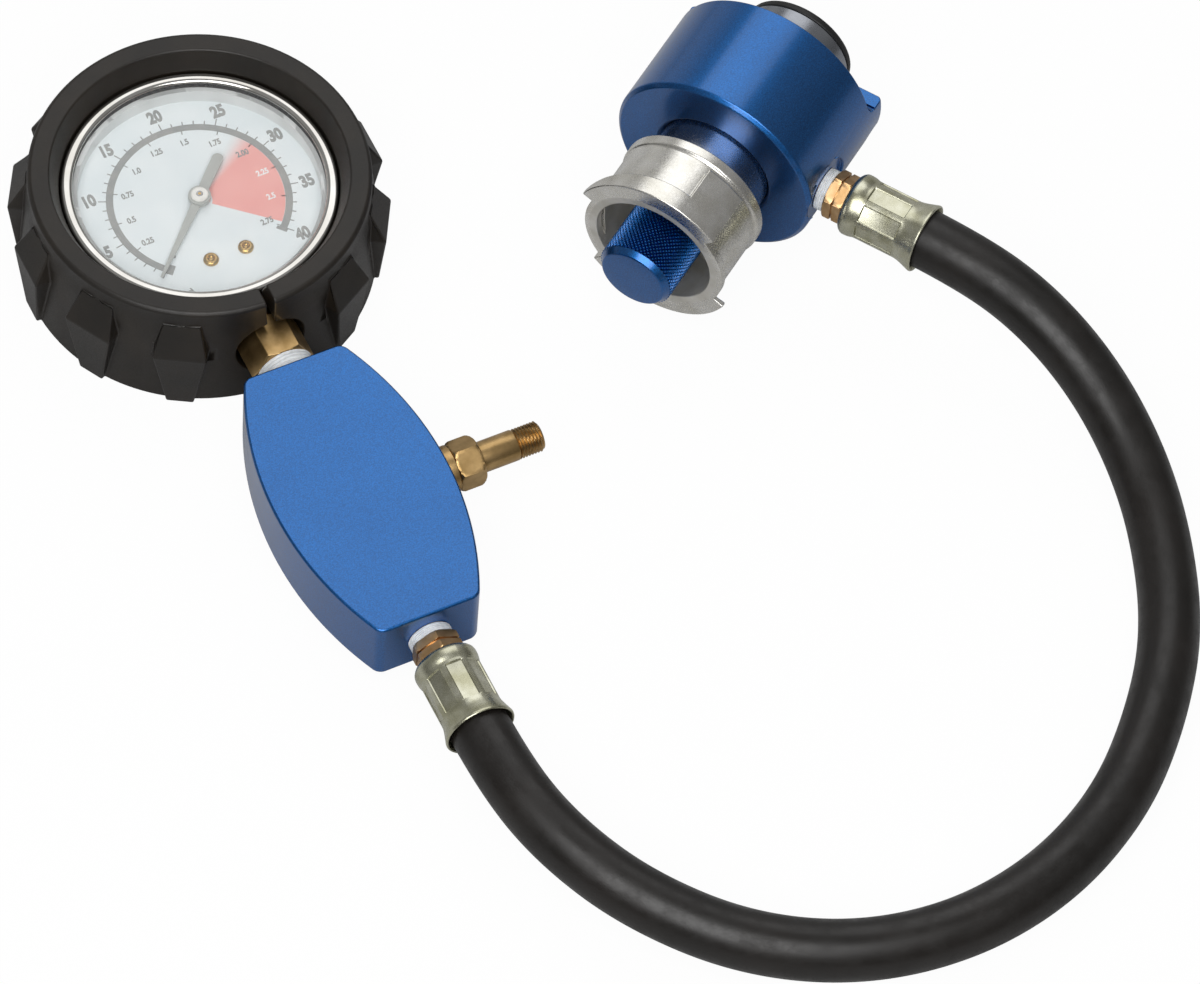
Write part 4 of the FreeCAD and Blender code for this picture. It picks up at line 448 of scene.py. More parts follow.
def sector(name, inner, outer, start, end, steps, surface):
    """A flat band or wedge on the dial, as a thin closed solid between two angles in degrees."""
    shape = bmesh.new()
    ink_top = dial_top + INK_THICK
    outline = ((inner, dial_top), (outer, dial_top), (outer, ink_top), (inner, ink_top))
    columns = []
    for step in range(steps + 1):
        angle = math.radians(start + (end - start) * step / steps)
        columns.append([shape.verts.new([value * MM for value in about(radius, angle, level)])
                        for radius, level in outline])
    for before, after in zip(columns, columns[1:]):
        bridge(shape, before, after)
    shape.faces.new(columns[0][::-1])
    shape.faces.new(columns[-1])
    bmesh.ops.recalc_face_normals(shape, faces=shape.faces)
    return shaped(name, shape, surface)


def lettering(words, size, spot, surface, narrow=0.74, weight=0.055, level=dial_top):
    """Printed words or numerals, centred on a spot of the dial, as a thin closed mesh."""
    text = bpy.data.curves.new("lettering", "FONT")
    text.body = words
    text.size = size
    text.align_x = "CENTER"
    text.align_y = "CENTER"
    text.offset = weight * size
    text.extrude = INK_THICK / 2
    text.resolution_u = 4
    mesh = plain_mesh("lettering", new_object("lettering", text))
    bpy.data.curves.remove(text)
    centre = Vector((spot[0], spot[1], level + INK_THICK / 2))
    mesh.transform(Matrix.Scale(MM, 4) @ Matrix.Translation(centre)
                   @ Matrix.Diagonal((narrow, 1, 1, 1)))
    mesh.materials.clear()
    mesh.materials.append(surface)
    return mesh


def on_dial(radius, psi):
    """The spot on the dial at a radius and a pressure."""
    return about(radius, math.radians(ZERO_ANGLE - PSI_STEP * psi), dial_top)


marks = marks_tree()
MARKS = {"Start angle": math.radians(ZERO_ANGLE), "Thickness": INK_THICK * MM,
         "Level": (dial_top + INK_THICK / 2) * MM, "Ink": grey_ink}
prints = [
    sector("band", BAND_INNER, BAND_OUTER, ZERO_ANGLE, FULL_ANGLE, 120, grey_ink),
    sector("band_start", BAND_END_INNER, BAND_END_OUTER, ZERO_ANGLE + BEFORE_ZERO, ZERO_ANGLE, 4,
           grey_ink),
    sector("band_end", BAND_END_INNER, BAND_END_OUTER, FULL_ANGLE, FULL_ANGLE - BEYOND_FULL, 4,
           grey_ink),
    grown("psi_marks", marks, {
        **MARKS, "Count": FULL_PSI + 1, "Inner radius": (BAND_OUTER - 0.1) * MM,
        "Step angle": -math.radians(PSI_STEP), "Length": 1.1 * MM, "Long length": 2.0 * MM,
        "Long every": 5, "Width": 0.3 * MM}),
    grown("bar_marks", marks, {
        **MARKS, "Count": 12, "Inner radius": (BAND_INNER - 1.0) * MM,
        "Step angle": -math.radians(PSI_STEP * PSI_PER_BAR / 4), "Length": 1.2 * MM,
        "Long length": 1.2 * MM, "Long every": 1, "Width": 0.28 * MM}),
]
PSI_SIZE = 4.7
PSI_RADIUS = 27.2
for psi in range(5, FULL_PSI + 1, 5):
    prints.append(lettering(str(psi), PSI_SIZE, on_dial(PSI_RADIUS, psi), grey_ink))
# The bar numerals inside the red wedge are white, and lie on its ink
BAR_NAMES = ["0.25", "0.5", "0.75", "1.0", "1.25", "1.5", "1.75", "2.00", "2.25", "2.5", "2.75"]
BAR_SIZE = 2.3
BAR_RADIUS = 17.7
FIRST_ON_RED = 1.8
FIRST_WHITE = 2.2
LAST_WHITE = 2.6
for place, bar_name in enumerate(BAR_NAMES, start=1):
    bar_value = place / 4
    ink = white_ink if FIRST_WHITE < bar_value < LAST_WHITE else grey_ink
    bar_level = dial_top + (2 * INK_THICK if bar_value > FIRST_ON_RED else 0)
    prints.append(lettering(bar_name, BAR_SIZE, on_dial(BAR_RADIUS, bar_value * PSI_PER_BAR), ink,
                            0.8, 0.04, bar_level))
UNIT_RADIUS = 28.3
UNIT_PLACE = -1.9
prints.append(lettering("0", BAR_SIZE, on_dial(BAR_RADIUS, 0), grey_ink))
prints.append(lettering("psi (bar)", BAR_SIZE, on_dial(UNIT_RADIUS, UNIT_PLACE), grey_ink))
printed = joined("dial_print", prints)
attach(printed, "tester")

# The wedge's ink is a pale red, screened out to the dial's white over its first few marks
WEDGE_START = 26.8
WEDGE_END = 39.4
WEDGE_FADE = 2.6
WEDGE_INNER = 3.2
red_ink, red_tree, red_shader, _, red_place = finish(
    "red_dial_ink", ("#f3a49c", "#f6aca4"), 8, (0.4, 0.5), 0.1, 0.001)
red_split = add_node(red_tree, "ShaderNodeSeparateXYZ", {}, {0: red_place}).outputs
red_angle = add_node(red_tree, "ShaderNodeMath", {"operation": "ARCTAN2"},
                     {0: red_split["Y"], 1: red_split["X"]})
fade_from = math.radians(ZERO_ANGLE - PSI_STEP * WEDGE_START)
fade_to = math.radians(ZERO_ANGLE - PSI_STEP * (WEDGE_START + WEDGE_FADE))
red_fade = add_node(red_tree, "ShaderNodeMapRange", {"interpolation_type": "SMOOTHSTEP"},
                    {"Value": red_angle, "From Min": fade_to, "From Max": fade_from})
red_tone = red_shader.inputs["Base Color"].links[0].from_socket
red_mix = add_node(red_tree, "ShaderNodeMix", {"data_type": "RGBA"},
                   {0: red_fade, 6: red_tone, 7: linear("#eaeeee")})
red_tree.links.new(red_mix.outputs[2], red_shader.inputs["Base Color"])
wedge = new_object("red_wedge", sector(
    "red_wedge", WEDGE_INNER, BAND_INNER - 0.05, ZERO_ANGLE - PSI_STEP * WEDGE_START,
    ZERO_ANGLE - PSI_STEP * WEDGE_END, 40, red_ink))
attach(wedge, "tester")

# --------------------------------------------------------------------------------------------------
# Dial screws: two small round-headed screws, turned from brass bar with a hollow in the head, which
# hold the dial down on the movement.
# --------------------------------------------------------------------------------------------------


def round_ring(radius, height, columns=96):
    """One ring of a skin; the radius may be a number, or a function of the angle in degrees."""
    ring = []
    for column in range(columns):
        degrees = 360 * column / columns
        reach = radius(degrees) if callable(radius) else radius
        ring.append(about(reach, math.radians(degrees), height))
    return ring


def round_rings(profile, columns=96):
    """The round rings that a profile of radii and heights stands for."""
    return [round_ring(radius, height, columns) for radius, height in profile]


def close(shape, row, middle):
    """Faces from a ring of corners to a pole."""
    pole = shape.verts.new(middle)
    for column in range(len(row)):
        shape.faces.new((row[column], row[(column + 1) % len(row)], pole))


def skin_mesh(name, rings, place, surface, looped=False, corner=32):
    """A closed skin through rings of points; it closes on itself, or a pole closes each end."""
    shape = bmesh.new()
    rows = [[shape.verts.new(point) for point in ring] for ring in rings]
    for low, high in zip(rows, rows[1:] + rows[:1] if looped else rows[1:]):
        bridge(shape, low, high)
    if not looped:
        for row in (rows[0], rows[-1]):
            close(shape, row, sum((vert.co for vert in row), Vector()) / len(row))
    bmesh.ops.recalc_face_normals(shape, faces=shape.faces)
    for face in shape.faces:
        face.smooth = True
    for edge in shape.edges:
        edge.smooth = edge.calc_face_angle() < math.radians(corner)
    mesh = shaped(name, shape, surface)
    mesh.transform(place)
    return mesh


SCREW_PROFILE = [
    # radius and height from the dial's face: up the shank, round the head and into its hollow
    (0.9, -2.3), (1.0, -2.2), (1.0, 0), (1.8, 0), (1.93, 0.08), (1.95, 0.3), (1.88, 0.55),
    (1.68, 0.8), (1.38, 0.95), (1.12, 0.99), (0.95, 0.93), (0.85, 0.75), (0.7, 0.55), (0.45, 0.42),
    (0.2, 0.38)]
SCREW_HEAD = 1.95
SMALL_COLUMNS = 40
screw_low, screw_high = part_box("dial_screws")
screw_y = (screw_low.y + screw_high.y) / 2
screw_rings = round_rings(SCREW_PROFILE, SMALL_COLUMNS)
screw_meshes = []
for screw_x in (screw_low.x + SCREW_HEAD * MM, screw_high.x - SCREW_HEAD * MM):
    stand = Matrix.Translation((screw_x, screw_y, dial_top * MM)) @ Matrix.Scale(MM, 4)
    screw_meshes.append(skin_mesh("dial_screw", screw_rings, stand, machined_brass, corner=40))
fit(joined("dial_screw_heads", screw_meshes), "dial_screws")

# --------------------------------------------------------------------------------------------------
# Pointer: a blade stamped from aluminium and painted grey, pressed on the pinion's arbor under a
# white plastic cap, through which the arbor's riveted steel end shows.
# --------------------------------------------------------------------------------------------------
# Eggshell grey paint, and a cap of plain white plastic that shines a little more
pointer_paint = finish("grey_pointer_paint", ("#a9aba6", "#b4b6b1"), 6,
                       (0.35, 0.45), 0.15, 0.001)[0]
dressed("pointer_blade", "pointer", pointer_paint, 0.06, 1, 40)
cap_plastic = finish("white_cap_plastic", ("#ece9e2", "#f4f2ec"), 3, (0.2, 0.3), 0.2, 0.001)[0]
dressed("pointer_button", "pointer_cap", cap_plastic, 0.12, 2, 30)
ARBOR_PROFILE = [
    # radius and height from the cap's top: a low rim round a dimple
    (0.79, -0.02), (0.79, 0), (0.42, 0.005), (0.3, -0.06), (0.12, -0.14)]
cap_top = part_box("pointer_cap")[1].z
arbor_end = skin_mesh("arbor_end", round_rings(ARBOR_PROFILE, SMALL_COLUMNS),
                      Matrix.Translation((0, 0, cap_top)) @ Matrix.Scale(MM, 4), ground_steel)
arbor_point = new_object("arbor_point", arbor_end)
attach(arbor_point, "pointer_arbor")

# --------------------------------------------------------------------------------------------------
# Window, spacer ring, gasket and bezel: a clear acrylic disc on a pale plastic ring and a rubber
# gasket, held by a thin chromium-plated brass ring rolled over the case's flange.
# --------------------------------------------------------------------------------------------------
# The plastic is a cool grey white; seal rubber is black and dull; acrylic is nearly unseen but for
# its gloss, so most of it is left clear; chromium mirrors the room with a warm cast
ring_plastic = finish("pale_spacer_plastic", ("#d9dcdb", "#e6e8e7"), 8,
                      (0.3, 0.4), 0.3, 0.002)[0]
wear(["dial_ring"], ring_plastic)
black_rubber = finish("black_seal_rubber", ("#141414", "#1d1d1d"), 5,
                      (0.4, 0.55), 0.25, 0.006)[0]
wear(["window_gasket", "hose_end_manifold", "hose_end_head", "core_orings", "plug_oring"],
     black_rubber)
acrylic = finish("clear_acrylic", ("#f2f6f7", "#ffffff"), 20, (0.02, 0.04), 1.0, 0.0005,
                 shares={"IOR": 1.49, "Alpha": 0.07})[0]
dressed("window_pane", "gauge_window", acrylic, 0.12, 2, 40)
chrome = finish("chromium_plate", ("#c9c6c0", "#dcdad6"), 16, (0.05, 0.1), 0.5, 0.001, 1.0)[0]


def skinned(name, rings, place, surface, looped=False, corner=32):
    """A skin through rings of points, as an object."""
    return new_object(name, skin_mesh(name, rings, place, surface, looped, corner))


# The bezel's lip is rolled inwards and down on the window, which gives it a round crown
bezel_low, bezel_high = (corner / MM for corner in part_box("gauge_bezel"))
BEZEL_WALL = 1.0
BEZEL_HOLD = 2.0
bezel_outer = bezel_high.x
bezel_inner = bezel_outer - BEZEL_WALL
lip = bezel_inner - BEZEL_HOLD
window_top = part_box("gauge_window")[1].z / MM
bezel_profile = [
    (bezel_inner, window_top), (lip + 0.15, window_top), (lip, window_top + 0.12),
    (lip + 0.1, window_top + 0.4), (lip + 0.45, window_top + 0.68),
    (lip + 0.95, bezel_high.z - 0.06), (lip + 1.5, bezel_high.z),
    (bezel_outer - 0.7, bezel_high.z - 0.08), (bezel_outer - 0.25, bezel_high.z - 0.35),
    (bezel_outer, bezel_high.z - 0.85), (bezel_outer, bezel_low.z + 0.2),
    (bezel_outer - 0.2, bezel_low.z), (bezel_inner, bezel_low.z)]
fit(skinned("bezel_ring", round_rings(bezel_profile, 192), Matrix.Scale(MM, 4), chrome,
            looped=True, corner=50), "gauge_bezel")

# --------------------------------------------------------------------------------------------------
# Gauge socket and its tape: the stem is turned from hexagon brass bar; its taper thread is wrapped
# in white PTFE film, which shows as a narrow ridged collar between hexagon and manifold.
# --------------------------------------------------------------------------------------------------
# Brass bar left as drawn and turned: a dull brown yellow, with softer lights than cut brass has
hexagon_brass = finish("turned_hexagon_brass", ("#a98a5a", "#c8a774"), 3.5,
                       (0.28, 0.42), 0.16, 0.003, 1.0)[0]
dressed("stem", "gauge_socket", hexagon_brass, 0.22, 2, 28)


def stance(origin, along, side):
    """The matrix that stands a piece, drawn in millimetres on its own Z axis, in its place."""
    z_way = Vector(along).normalized()
    x_way = Vector(side).normalized()
    turn = Matrix((x_way, z_way.cross(x_way), z_way)).transposed().to_4x4()
    return Matrix.Translation(Vector(origin) * MM) @ turn @ Matrix.Scale(MM, 4)


LINE_HEIGHT = 17.0
DOWN_STEM = stance((0, 0, LINE_HEIGHT), (0, -1, 0), (1, 0, 0))
STEM_THREAD_PITCH = 0.94
TAPE_RIDGE = 0.14
TAPE_WANDER = 0.04
TAPE_END_DROP = 0.16
# PTFE film is milky and waxy: light goes into it a little, and its folds are soft
ptfe_film = finish("ptfe_film", ("#dddcdb", "#f6f6f4"), 1.8, (0.35, 0.5), 0.4, 0.006,
                   shares={"Subsurface Weight": 0.15})[0]


def wound_tape(name, node, inner, outer, low, high, place, seed, pitch):
    """White film wound over a thread: ridges at a pitch, a wandering edge and drawn-in ends."""
    chance = random.Random(seed)
    phases = [chance.uniform(0, 2 * math.pi) for _ in range(4)]
    steps = max(8, int((high - low) / 0.1))
    rings = [round_ring(inner, low), round_ring(inner, high)]
    for step in range(steps + 1):
        height = high - (high - low) * step / steps
        end_drop = TAPE_END_DROP * (step in (0, steps))

        def reach(degrees, height=height, end_drop=end_drop):
            around = math.radians(degrees)
            ridge = 0.5 + 0.5 * math.cos(2 * math.pi * (height / pitch) - around + phases[0])
            wander = (math.sin(2 * around + phases[1])
                      + 0.5 * math.sin(5 * around + phases[2] + height))
            return outer - end_drop - TAPE_RIDGE * (1 - ridge) - TAPE_WANDER * (1 + 0.5 * wander)

        rings.append(round_ring(reach, height))
    return fit(skinned(name, rings, place, ptfe_film, looped=True, corner=50), node)


film_end, film_start = (-corner.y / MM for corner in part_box("stem_tape"))
wound_tape("stem_film", "stem_tape", inner=6.87, outer=7.3, low=film_start, high=film_end,
           place=DOWN_STEM, seed=3, pitch=STEM_THREAD_PITCH)

# --------------------------------------------------------------------------------------------------
# Manifold block: extruded aluminium, milled to a barrel outline with a small chamfer round both
# faces, bead-blasted and anodised blue.
# --------------------------------------------------------------------------------------------------
# The dyed film is clear, so that the metal shines blue through it under a harder, sharper gloss
anodised_blue, blue_tree, blue_shader, _, blue_place = finish(
    "blue_anodised_aluminium", ("#155fa5", "#1762a9"), 25, (0.32, 0.4), 0.3, 0.006, 1.0,
    {"Coat Weight": 1.0, "Coat Roughness": 0.16, "Coat IOR": 1.45})
# Painted glints on the blasted grain: the base colour is darkened and lightened at random in 0.3 mm
# spots, dark pits of the grain and painted glints that stand for facets meeting the light; grains
# are 0.1 mm, drawn at 0.3 to show
BLUE_GRAIN = 0.3
blue_grains = add_node(blue_tree, "ShaderNodeTexNoise", {},
                       {"Vector": blue_place, "Scale": 1 / (BLUE_GRAIN * MM), "Detail": 1.0})
# Painted glint: the spots lighten the blue up to 1.32 times, and darken it to 0.74 for the grain's
# pits
blue_painted_glint = add_node(blue_tree, "ShaderNodeMapRange", {},
                      {"Value": blue_grains, "From Min": 0.3, "From Max": 0.7,
                       "To Min": 0.74, "To Max": 1.32})
blue_tone = blue_shader.inputs["Base Color"].links[0].from_socket
blue_grain_and_painted_glint = add_node(blue_tree, "ShaderNodeMix",
                        {"data_type": "RGBA", "blend_type": "MULTIPLY"},
                        {0: 1.0, 6: blue_tone, 7: blue_painted_glint})
blue_tree.links.new(blue_grain_and_painted_glint.outputs[2], blue_shader.inputs["Base Color"])
dressed("manifold", "manifold_block", anodised_blue, 0.25, 2, 24)

# --------------------------------------------------------------------------------------------------
# Air valve: a tyre-type valve turned from brass hexagon: collar, hexagon, plain shank and a fine
# thread of 32 to the inch, with the valve insert and its pin inside the open mouth.
# --------------------------------------------------------------------------------------------------
valve_line = (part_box("valve_pin")[0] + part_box("valve_pin")[1]) / 2 / MM
OUT_OF_VALVE = stance((0, valve_line.y, valve_line.z), (1, 0, 0), (0, 1, 0))
HEX_ACROSS = 11.11
HEX_CORNER = HEX_ACROSS / math.sqrt(3)
VALVE_PITCH = 0.794
VALVE_CREST = 3.87
VALVE_THREAD_DEPTH = 0.42
VALVE_THREAD_LOW = 42.15
VALVE_THREAD_HIGH = 48.1
RINGS_PER_THREAD = 8


def eased(profile, radius):
    """A closed profile of (radius, height) corners with each corner rounded off in four steps."""
    eased_profile = []
    for count, corner in enumerate(profile):
        here = Vector(corner)
        starts = []
        for other in (profile[count - 1], profile[(count + 1) % len(profile)]):
            way = Vector(other) - here
            starts.append(here + way.normalized() * min(radius, 0.45 * way.length))
        for step in range(5):
            share = step / 4
            eased_profile.append(tuple(starts[0] * (1 - share) ** 2
                                       + here * 2 * share * (1 - share)
                                       + starts[1] * share ** 2))
    return eased_profile


def hexagon(across_flats, limit, turn=0.0):
    """The reach of a hexagon bar at each angle, where a turned chamfer limits its corners."""
    def reach(degrees):
        from_flat = (degrees + turn + 30) % 60 - 30
        return min(limit, across_flats / 2 / math.cos(math.radians(from_flat)))
    return reach


def threaded(crest, pitch, depth, height):
    """The reach of a V thread at one height."""
    def reach(degrees):
        phase = (height / pitch - degrees / 360) % 1
        return crest - depth * abs(2 * phase - 1)
    return reach


VALVE_COLLAR = [
    # radius and height from the manifold's middle: the shank in the port, and the collar
    (1.6, 13.7), (5.1, 13.7), (5.1, 22.35), (6.0, 22.35), (6.0, 25.05)]
VALVE_HEXAGON = [
    # height, and how far the corners may reach: a chamfer, the bar's own corners, a chamfer
    (25.05, 5.2), (25.1, 5.5), (25.35, 5.85), (25.8, 6.2), (26.3, HEX_CORNER), (30.8, HEX_CORNER),
    (31.3, 6.2), (31.75, 5.85), (32.0, 5.5), (32.05, 5.3)]
VALVE_SHANK = [(3.9, 32.07), (3.9, 41.6), (3.75, 41.9), (3.45, 42.1)]
VALVE_MOUTH = [
    # over the end and back down the mouth, the insert's seat and the bore
    (3.4, 48.4), (3.25, 48.55), (2.8, 48.55), (2.7, 48.45), (2.7, 41.05), (2.0, 41.05),
    (2.0, 27.0), (1.6, 27.0)]
valve_rings = round_rings(eased(VALVE_COLLAR, 0.25))
valve_rings += [round_ring(hexagon(HEX_ACROSS, limit), height) for height, limit in VALVE_HEXAGON]
valve_rings += round_rings(VALVE_SHANK)
thread_run = VALVE_THREAD_HIGH - VALVE_THREAD_LOW
thread_steps = int(thread_run / VALVE_PITCH * RINGS_PER_THREAD)
for step in range(thread_steps + 1):
    height = VALVE_THREAD_LOW + thread_run * step / thread_steps
    thread = threaded(VALVE_CREST, VALVE_PITCH, VALVE_THREAD_DEPTH, height)
    valve_rings.append(round_ring(thread, height))
valve_rings += round_rings(VALVE_MOUTH)
fit(skinned("valve_barrel", valve_rings, OUT_OF_VALVE, hexagon_brass, looped=True), "valve_body")
wear(["valve_core"], machined_brass)
wear(["valve_pin"], ground_steel)

# The valve's spring stands on the insert and shortens as the pin's collar comes down on it
coil_spring = merged("coil_spring", "valve_spring", ground_steel)
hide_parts("valve_spring")
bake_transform(coil_spring)

# --------------------------------------------------------------------------------------------------
# Hose ends: a brass fitting with a grooved hexagon, film on its thread, and a ferrule of
# zinc-plated steel with a yellow passivate, pressed in eight places round its waist.
# --------------------------------------------------------------------------------------------------
HEAD_SPOT = Vector((118.6, -44.7, 27.4))
HEAD_YAW = math.radians(34.3)
HEAD_WAY = Vector((math.cos(HEAD_YAW), math.sin(HEAD_YAW), 0))
PORT_WAY = Vector((math.sin(HEAD_YAW), -math.cos(HEAD_YAW), 0))
PORT_ALONG = 8.7
PORT_REACH = 26.4
UP = Vector((0, 0, 1))
manifold_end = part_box("manifold_block")[0].y / MM
HOSE_ENDS = {
    # name: its stand on its port, the turn of its hexagon in degrees, and the tape's seed
    "manifold": (stance((0, manifold_end, LINE_HEIGHT), (0, -1, 0), (1, 0, 0)), 0, 13),
    "head": (stance(HEAD_SPOT + PORT_ALONG * HEAD_WAY + PORT_REACH * PORT_WAY, PORT_WAY, UP),
             30, 9),
}
# The fittings are a redder brass than the valve; the passivate gives zinc a greenish yellow tinge
fitting_brass = finish("drawn_fitting_brass", ("#bf9868", "#d9b487"), 3,
                       (0.3, 0.42), 0.16, 0.003, 1.0)[0]
passivated_zinc = finish("yellow_passivated_zinc", ("#b4b297", "#d6d5c2"), 5,
                         (0.24, 0.34), 0.3, 0.003, 1.0)[0]
FLATS = 8
FLAT_SPACE = 360 / FLATS
FLAT_REACH = 7.05
FLAT_EDGE = 15.4
WALL_EDGE = 17.2
COLUMN_OFFSETS = (-17.6, -16.8, -16.2, -FLAT_EDGE, -8, 0, 8, FLAT_EDGE, 16.2, 16.8, 17.6,
                  FLAT_SPACE / 2)
COLUMN_ANGLES = [turn * FLAT_SPACE + offset for turn in range(FLATS) for offset in COLUMN_OFFSETS]


def ferrule_ring(round_reach, pressed, height):
    """One ring of the ferrule: round, or drawn in towards its eight flats by a share."""
    ring = []
    for degrees in COLUMN_ANGLES:
        from_flat = abs((degrees + FLAT_SPACE / 2) % FLAT_SPACE - FLAT_SPACE / 2)
        flat = FLAT_REACH / math.cos(math.radians(from_flat))
        wall = max(0, min(1, (WALL_EDGE - from_flat) / (WALL_EDGE - FLAT_EDGE)))
        reach = round_reach + (flat - round_reach) * pressed * wall
        ring.append(about(reach, math.radians(degrees), height))
    return ring


FERRULE_SKIN = [
    # reach, share pressed in, height: up the outside from the fitting, then back down the bore
    (4.4, 0, 7.62), (6.1, 0, 7.63), (6.6, 0, 7.7), (7.1, 0, 7.95), (7.6, 0, 8.35), (7.95, 0, 8.85),
    (8.09, 0, 9.4), (8.1, 0, 10.1), (8.05, 0, 10.8), (7.93, 0, 11.4), (7.78, 0, 11.9),
    (7.71, 0, 12.3), (7.7, 0, 12.7), (7.7, 0.05, 12.85), (7.7, 0.5, 12.95), (7.7, 0.95, 13.1),
    (7.7, 1, 13.25), (7.7, 1, 23.0), (7.7, 0.95, 23.15), (7.7, 0.5, 23.3), (7.7, 0.05, 23.42),
    (7.7, 0, 23.6), (7.72, 0, 24.0), (7.82, 0, 24.7), (8.05, 0, 25.6), (8.35, 0, 26.6),
    (8.66, 0, 27.6), (8.86, 0, 28.2), (8.94, 0, 28.5), (8.92, 0, 28.75), (8.8, 0, 28.93),
    (8.6, 0, 29.0), (8.42, 0, 28.96), (8.3, 0, 28.8), (7.95, 0, 27.9), (7.6, 0, 27.1),
    (7.55, 0, 26.8), (7.55, 0, 24.65), (6.6, 0, 24.6), (6.6, 0, 8.85), (4.3, 0, 8.8)]
FITTING_THREAD = [(2.4, -8.5), (4.7, -8.5), (5.0, -8.2), (5.1, -7.8), (5.1, 2.55)]
FITTING_HEXAGON = [
    # height, and how far the corners may reach: a chamfer, the groove round the middle, a chamfer
    (2.6, 5.2), (2.62, 5.9), (2.75, 6.15), (3.0, HEX_CORNER), (4.75, HEX_CORNER), (4.85, 6.1),
    (4.86, 5.16), (5.34, 5.16), (5.35, 6.1), (5.45, HEX_CORNER), (7.2, HEX_CORNER), (7.45, 6.15),
    (7.58, 5.9), (7.59, 5.2)]
FITTING_BARBS = [(4.0, 7.6), (4.25, 11.6), (4.0, 11.7), (4.25, 15.6), (4.0, 15.7), (4.25, 19.6),
                 (4.0, 19.7), (4.0, 24.5), (2.4, 24.5)]
TAPE_FOLD = 0.5
for where, (place, hexagon_turn, seed) in HOSE_ENDS.items():
    fitting_rings = round_rings(FITTING_THREAD)
    fitting_rings += [round_ring(hexagon(HEX_ACROSS, limit, hexagon_turn), height)
                      for height, limit in FITTING_HEXAGON]
    fitting_rings += round_rings(FITTING_BARBS)
    fit(skinned("brass_fitting_" + where, fitting_rings, place, fitting_brass, looped=True),
        "fitting_" + where)
    wound_tape("film_" + where, "tape_" + where, inner=5.12, outer=5.55, low=0.06, high=2.54,
               place=place, seed=seed, pitch=TAPE_FOLD)
    fit(skinned("crimped_ferrule_" + where, [ferrule_ring(*ring) for ring in FERRULE_SKIN], place,
                passivated_zinc, looped=True, corner=28), "ferrule_" + where)

# --------------------------------------------------------------------------------------------------
# Hose: black synthetic rubber over braid, 15 mm outside, 380 mm long, clamped at both ends. It
# leaves the manifold level, lies on the floor through one wide loop and climbs to the head.
# --------------------------------------------------------------------------------------------------
HOSE_RADIUS = 7.5
HOSE_STOP = 24.6
HOSE_FIRST = (0, -158.7, 17)
HOSE_LAST = tuple(HEAD_SPOT + PORT_ALONG * HEAD_WAY + (PORT_REACH + HOSE_STOP) * PORT_WAY)
HOSE_POINTS = [
    HOSE_FIRST, (0, -176.7, 17), (4.5, -197.3, 15.8), (15.1, -217.8, 13.5), (33.3, -237, 10.5),
    (56.8, -249.4, 8.3), (83.1, -253.9, 7.6), (109.5, -249.9, 7.7), (133.4, -238.1, 8.2),
    (152.4, -220.3, 8), (167.7, -199.9, 7.6), (177.7, -174.4, 8.6), (181.2, -152.7, 12.3),
    (179.7, -131.9, 18.1), (173.5, -112.8, 24), (164.1, -96, 27.4), HOSE_LAST]
hose_curve = bpy.data.curves.new("hose_line", "CURVE")
hose_curve.dimensions = "3D"
hose_curve.bevel_depth = HOSE_RADIUS * MM
hose_curve.bevel_resolution = 12
hose_curve.resolution_u = 14
hose_curve.use_fill_caps = True
hose_line = hose_curve.splines.new("NURBS")
hose_line.points.add(len(HOSE_POINTS) - 1)
for point, spot in zip(hose_line.points, HOSE_POINTS):
    point.co = (spot[0] * MM, spot[1] * MM, spot[2] * MM, 1)
hose_line.order_u = 3
hose_line.use_endpoint_u = True
# Smooth extruded rubber, a warm black with a soft light along it
hose_rubber, hose_tree, hose_shader, _, hose_place = finish(
    "black_hose_rubber", ("#110e0b", "#191512"), 18, (0.3, 0.4), 0.5, 0.01)
# Handling and coiling leave dull patches, which break up the light along the hose
HOSE_PATCH = 6
hose_marks = add_node(hose_tree, "ShaderNodeTexNoise", {},
                      {"Vector": hose_place, "Scale": 1 / (HOSE_PATCH * MM), "Detail": 5.0,
                       "Roughness": 0.65})
hose_dulled = add_node(hose_tree, "ShaderNodeMapRange", {},
                       {"Value": hose_marks, "From Min": 0.42, "From Max": 0.62, "To Max": 0.14})
hose_grain = hose_shader.inputs["Roughness"].links[0].from_socket
hose_rough = add_node(hose_tree, "ShaderNodeMath", {"operation": "ADD"},
                      {0: hose_grain, 1: hose_dulled})
hose_tree.links.new(hose_rough.outputs[0], hose_shader.inputs["Roughness"])
hose_curve.materials.append(hose_rubber)
hose = new_object("hose_tube", hose_curve)
fit(hose, "hose")

# --------------------------------------------------------------------------------------------------
# Test head: turned from aluminium bar and anodised blue like the manifold, with two hooked claws
# and a spot-faced port. A polished aluminium core turns in it and carries the black nose seal.
# --------------------------------------------------------------------------------------------------
dressed("head", "head_body", anodised_blue, 0.3, 2, 24)
# Bare aluminium off the lathe and the buff: a cool grey that mirrors the blue beside it
polished_aluminium = finish("polished_aluminium", ("#8e9198", "#a9acb1"), 12,
                            (0.2, 0.3), 0.4, 0.002, 1.0)[0]
dressed("core", "core_tube", polished_aluminium, 0.25, 2, 28)
wear(["retaining_ring", "plug_washer"], ground_steel)
dressed("nose_ring", "nose_seal", black_rubber, 0.5, 3, 28)

# --------------------------------------------------------------------------------------------------
# Filler neck: die-cast zinc with two ramped cams and their stops, tumbled bright outside, with a
# machined cam flange. It is screwed on the core.
# --------------------------------------------------------------------------------------------------
# A warm, pale metal whose cast grain breaks up its lights
cast_metal, cast_tree, cast_shader, cast_bump, cast_place = finish(
    "cast_neck_alloy", ("#dcd9d0", "#efede8"), 6, (0.22, 0.34), 0.5, 0.015, 1.0)
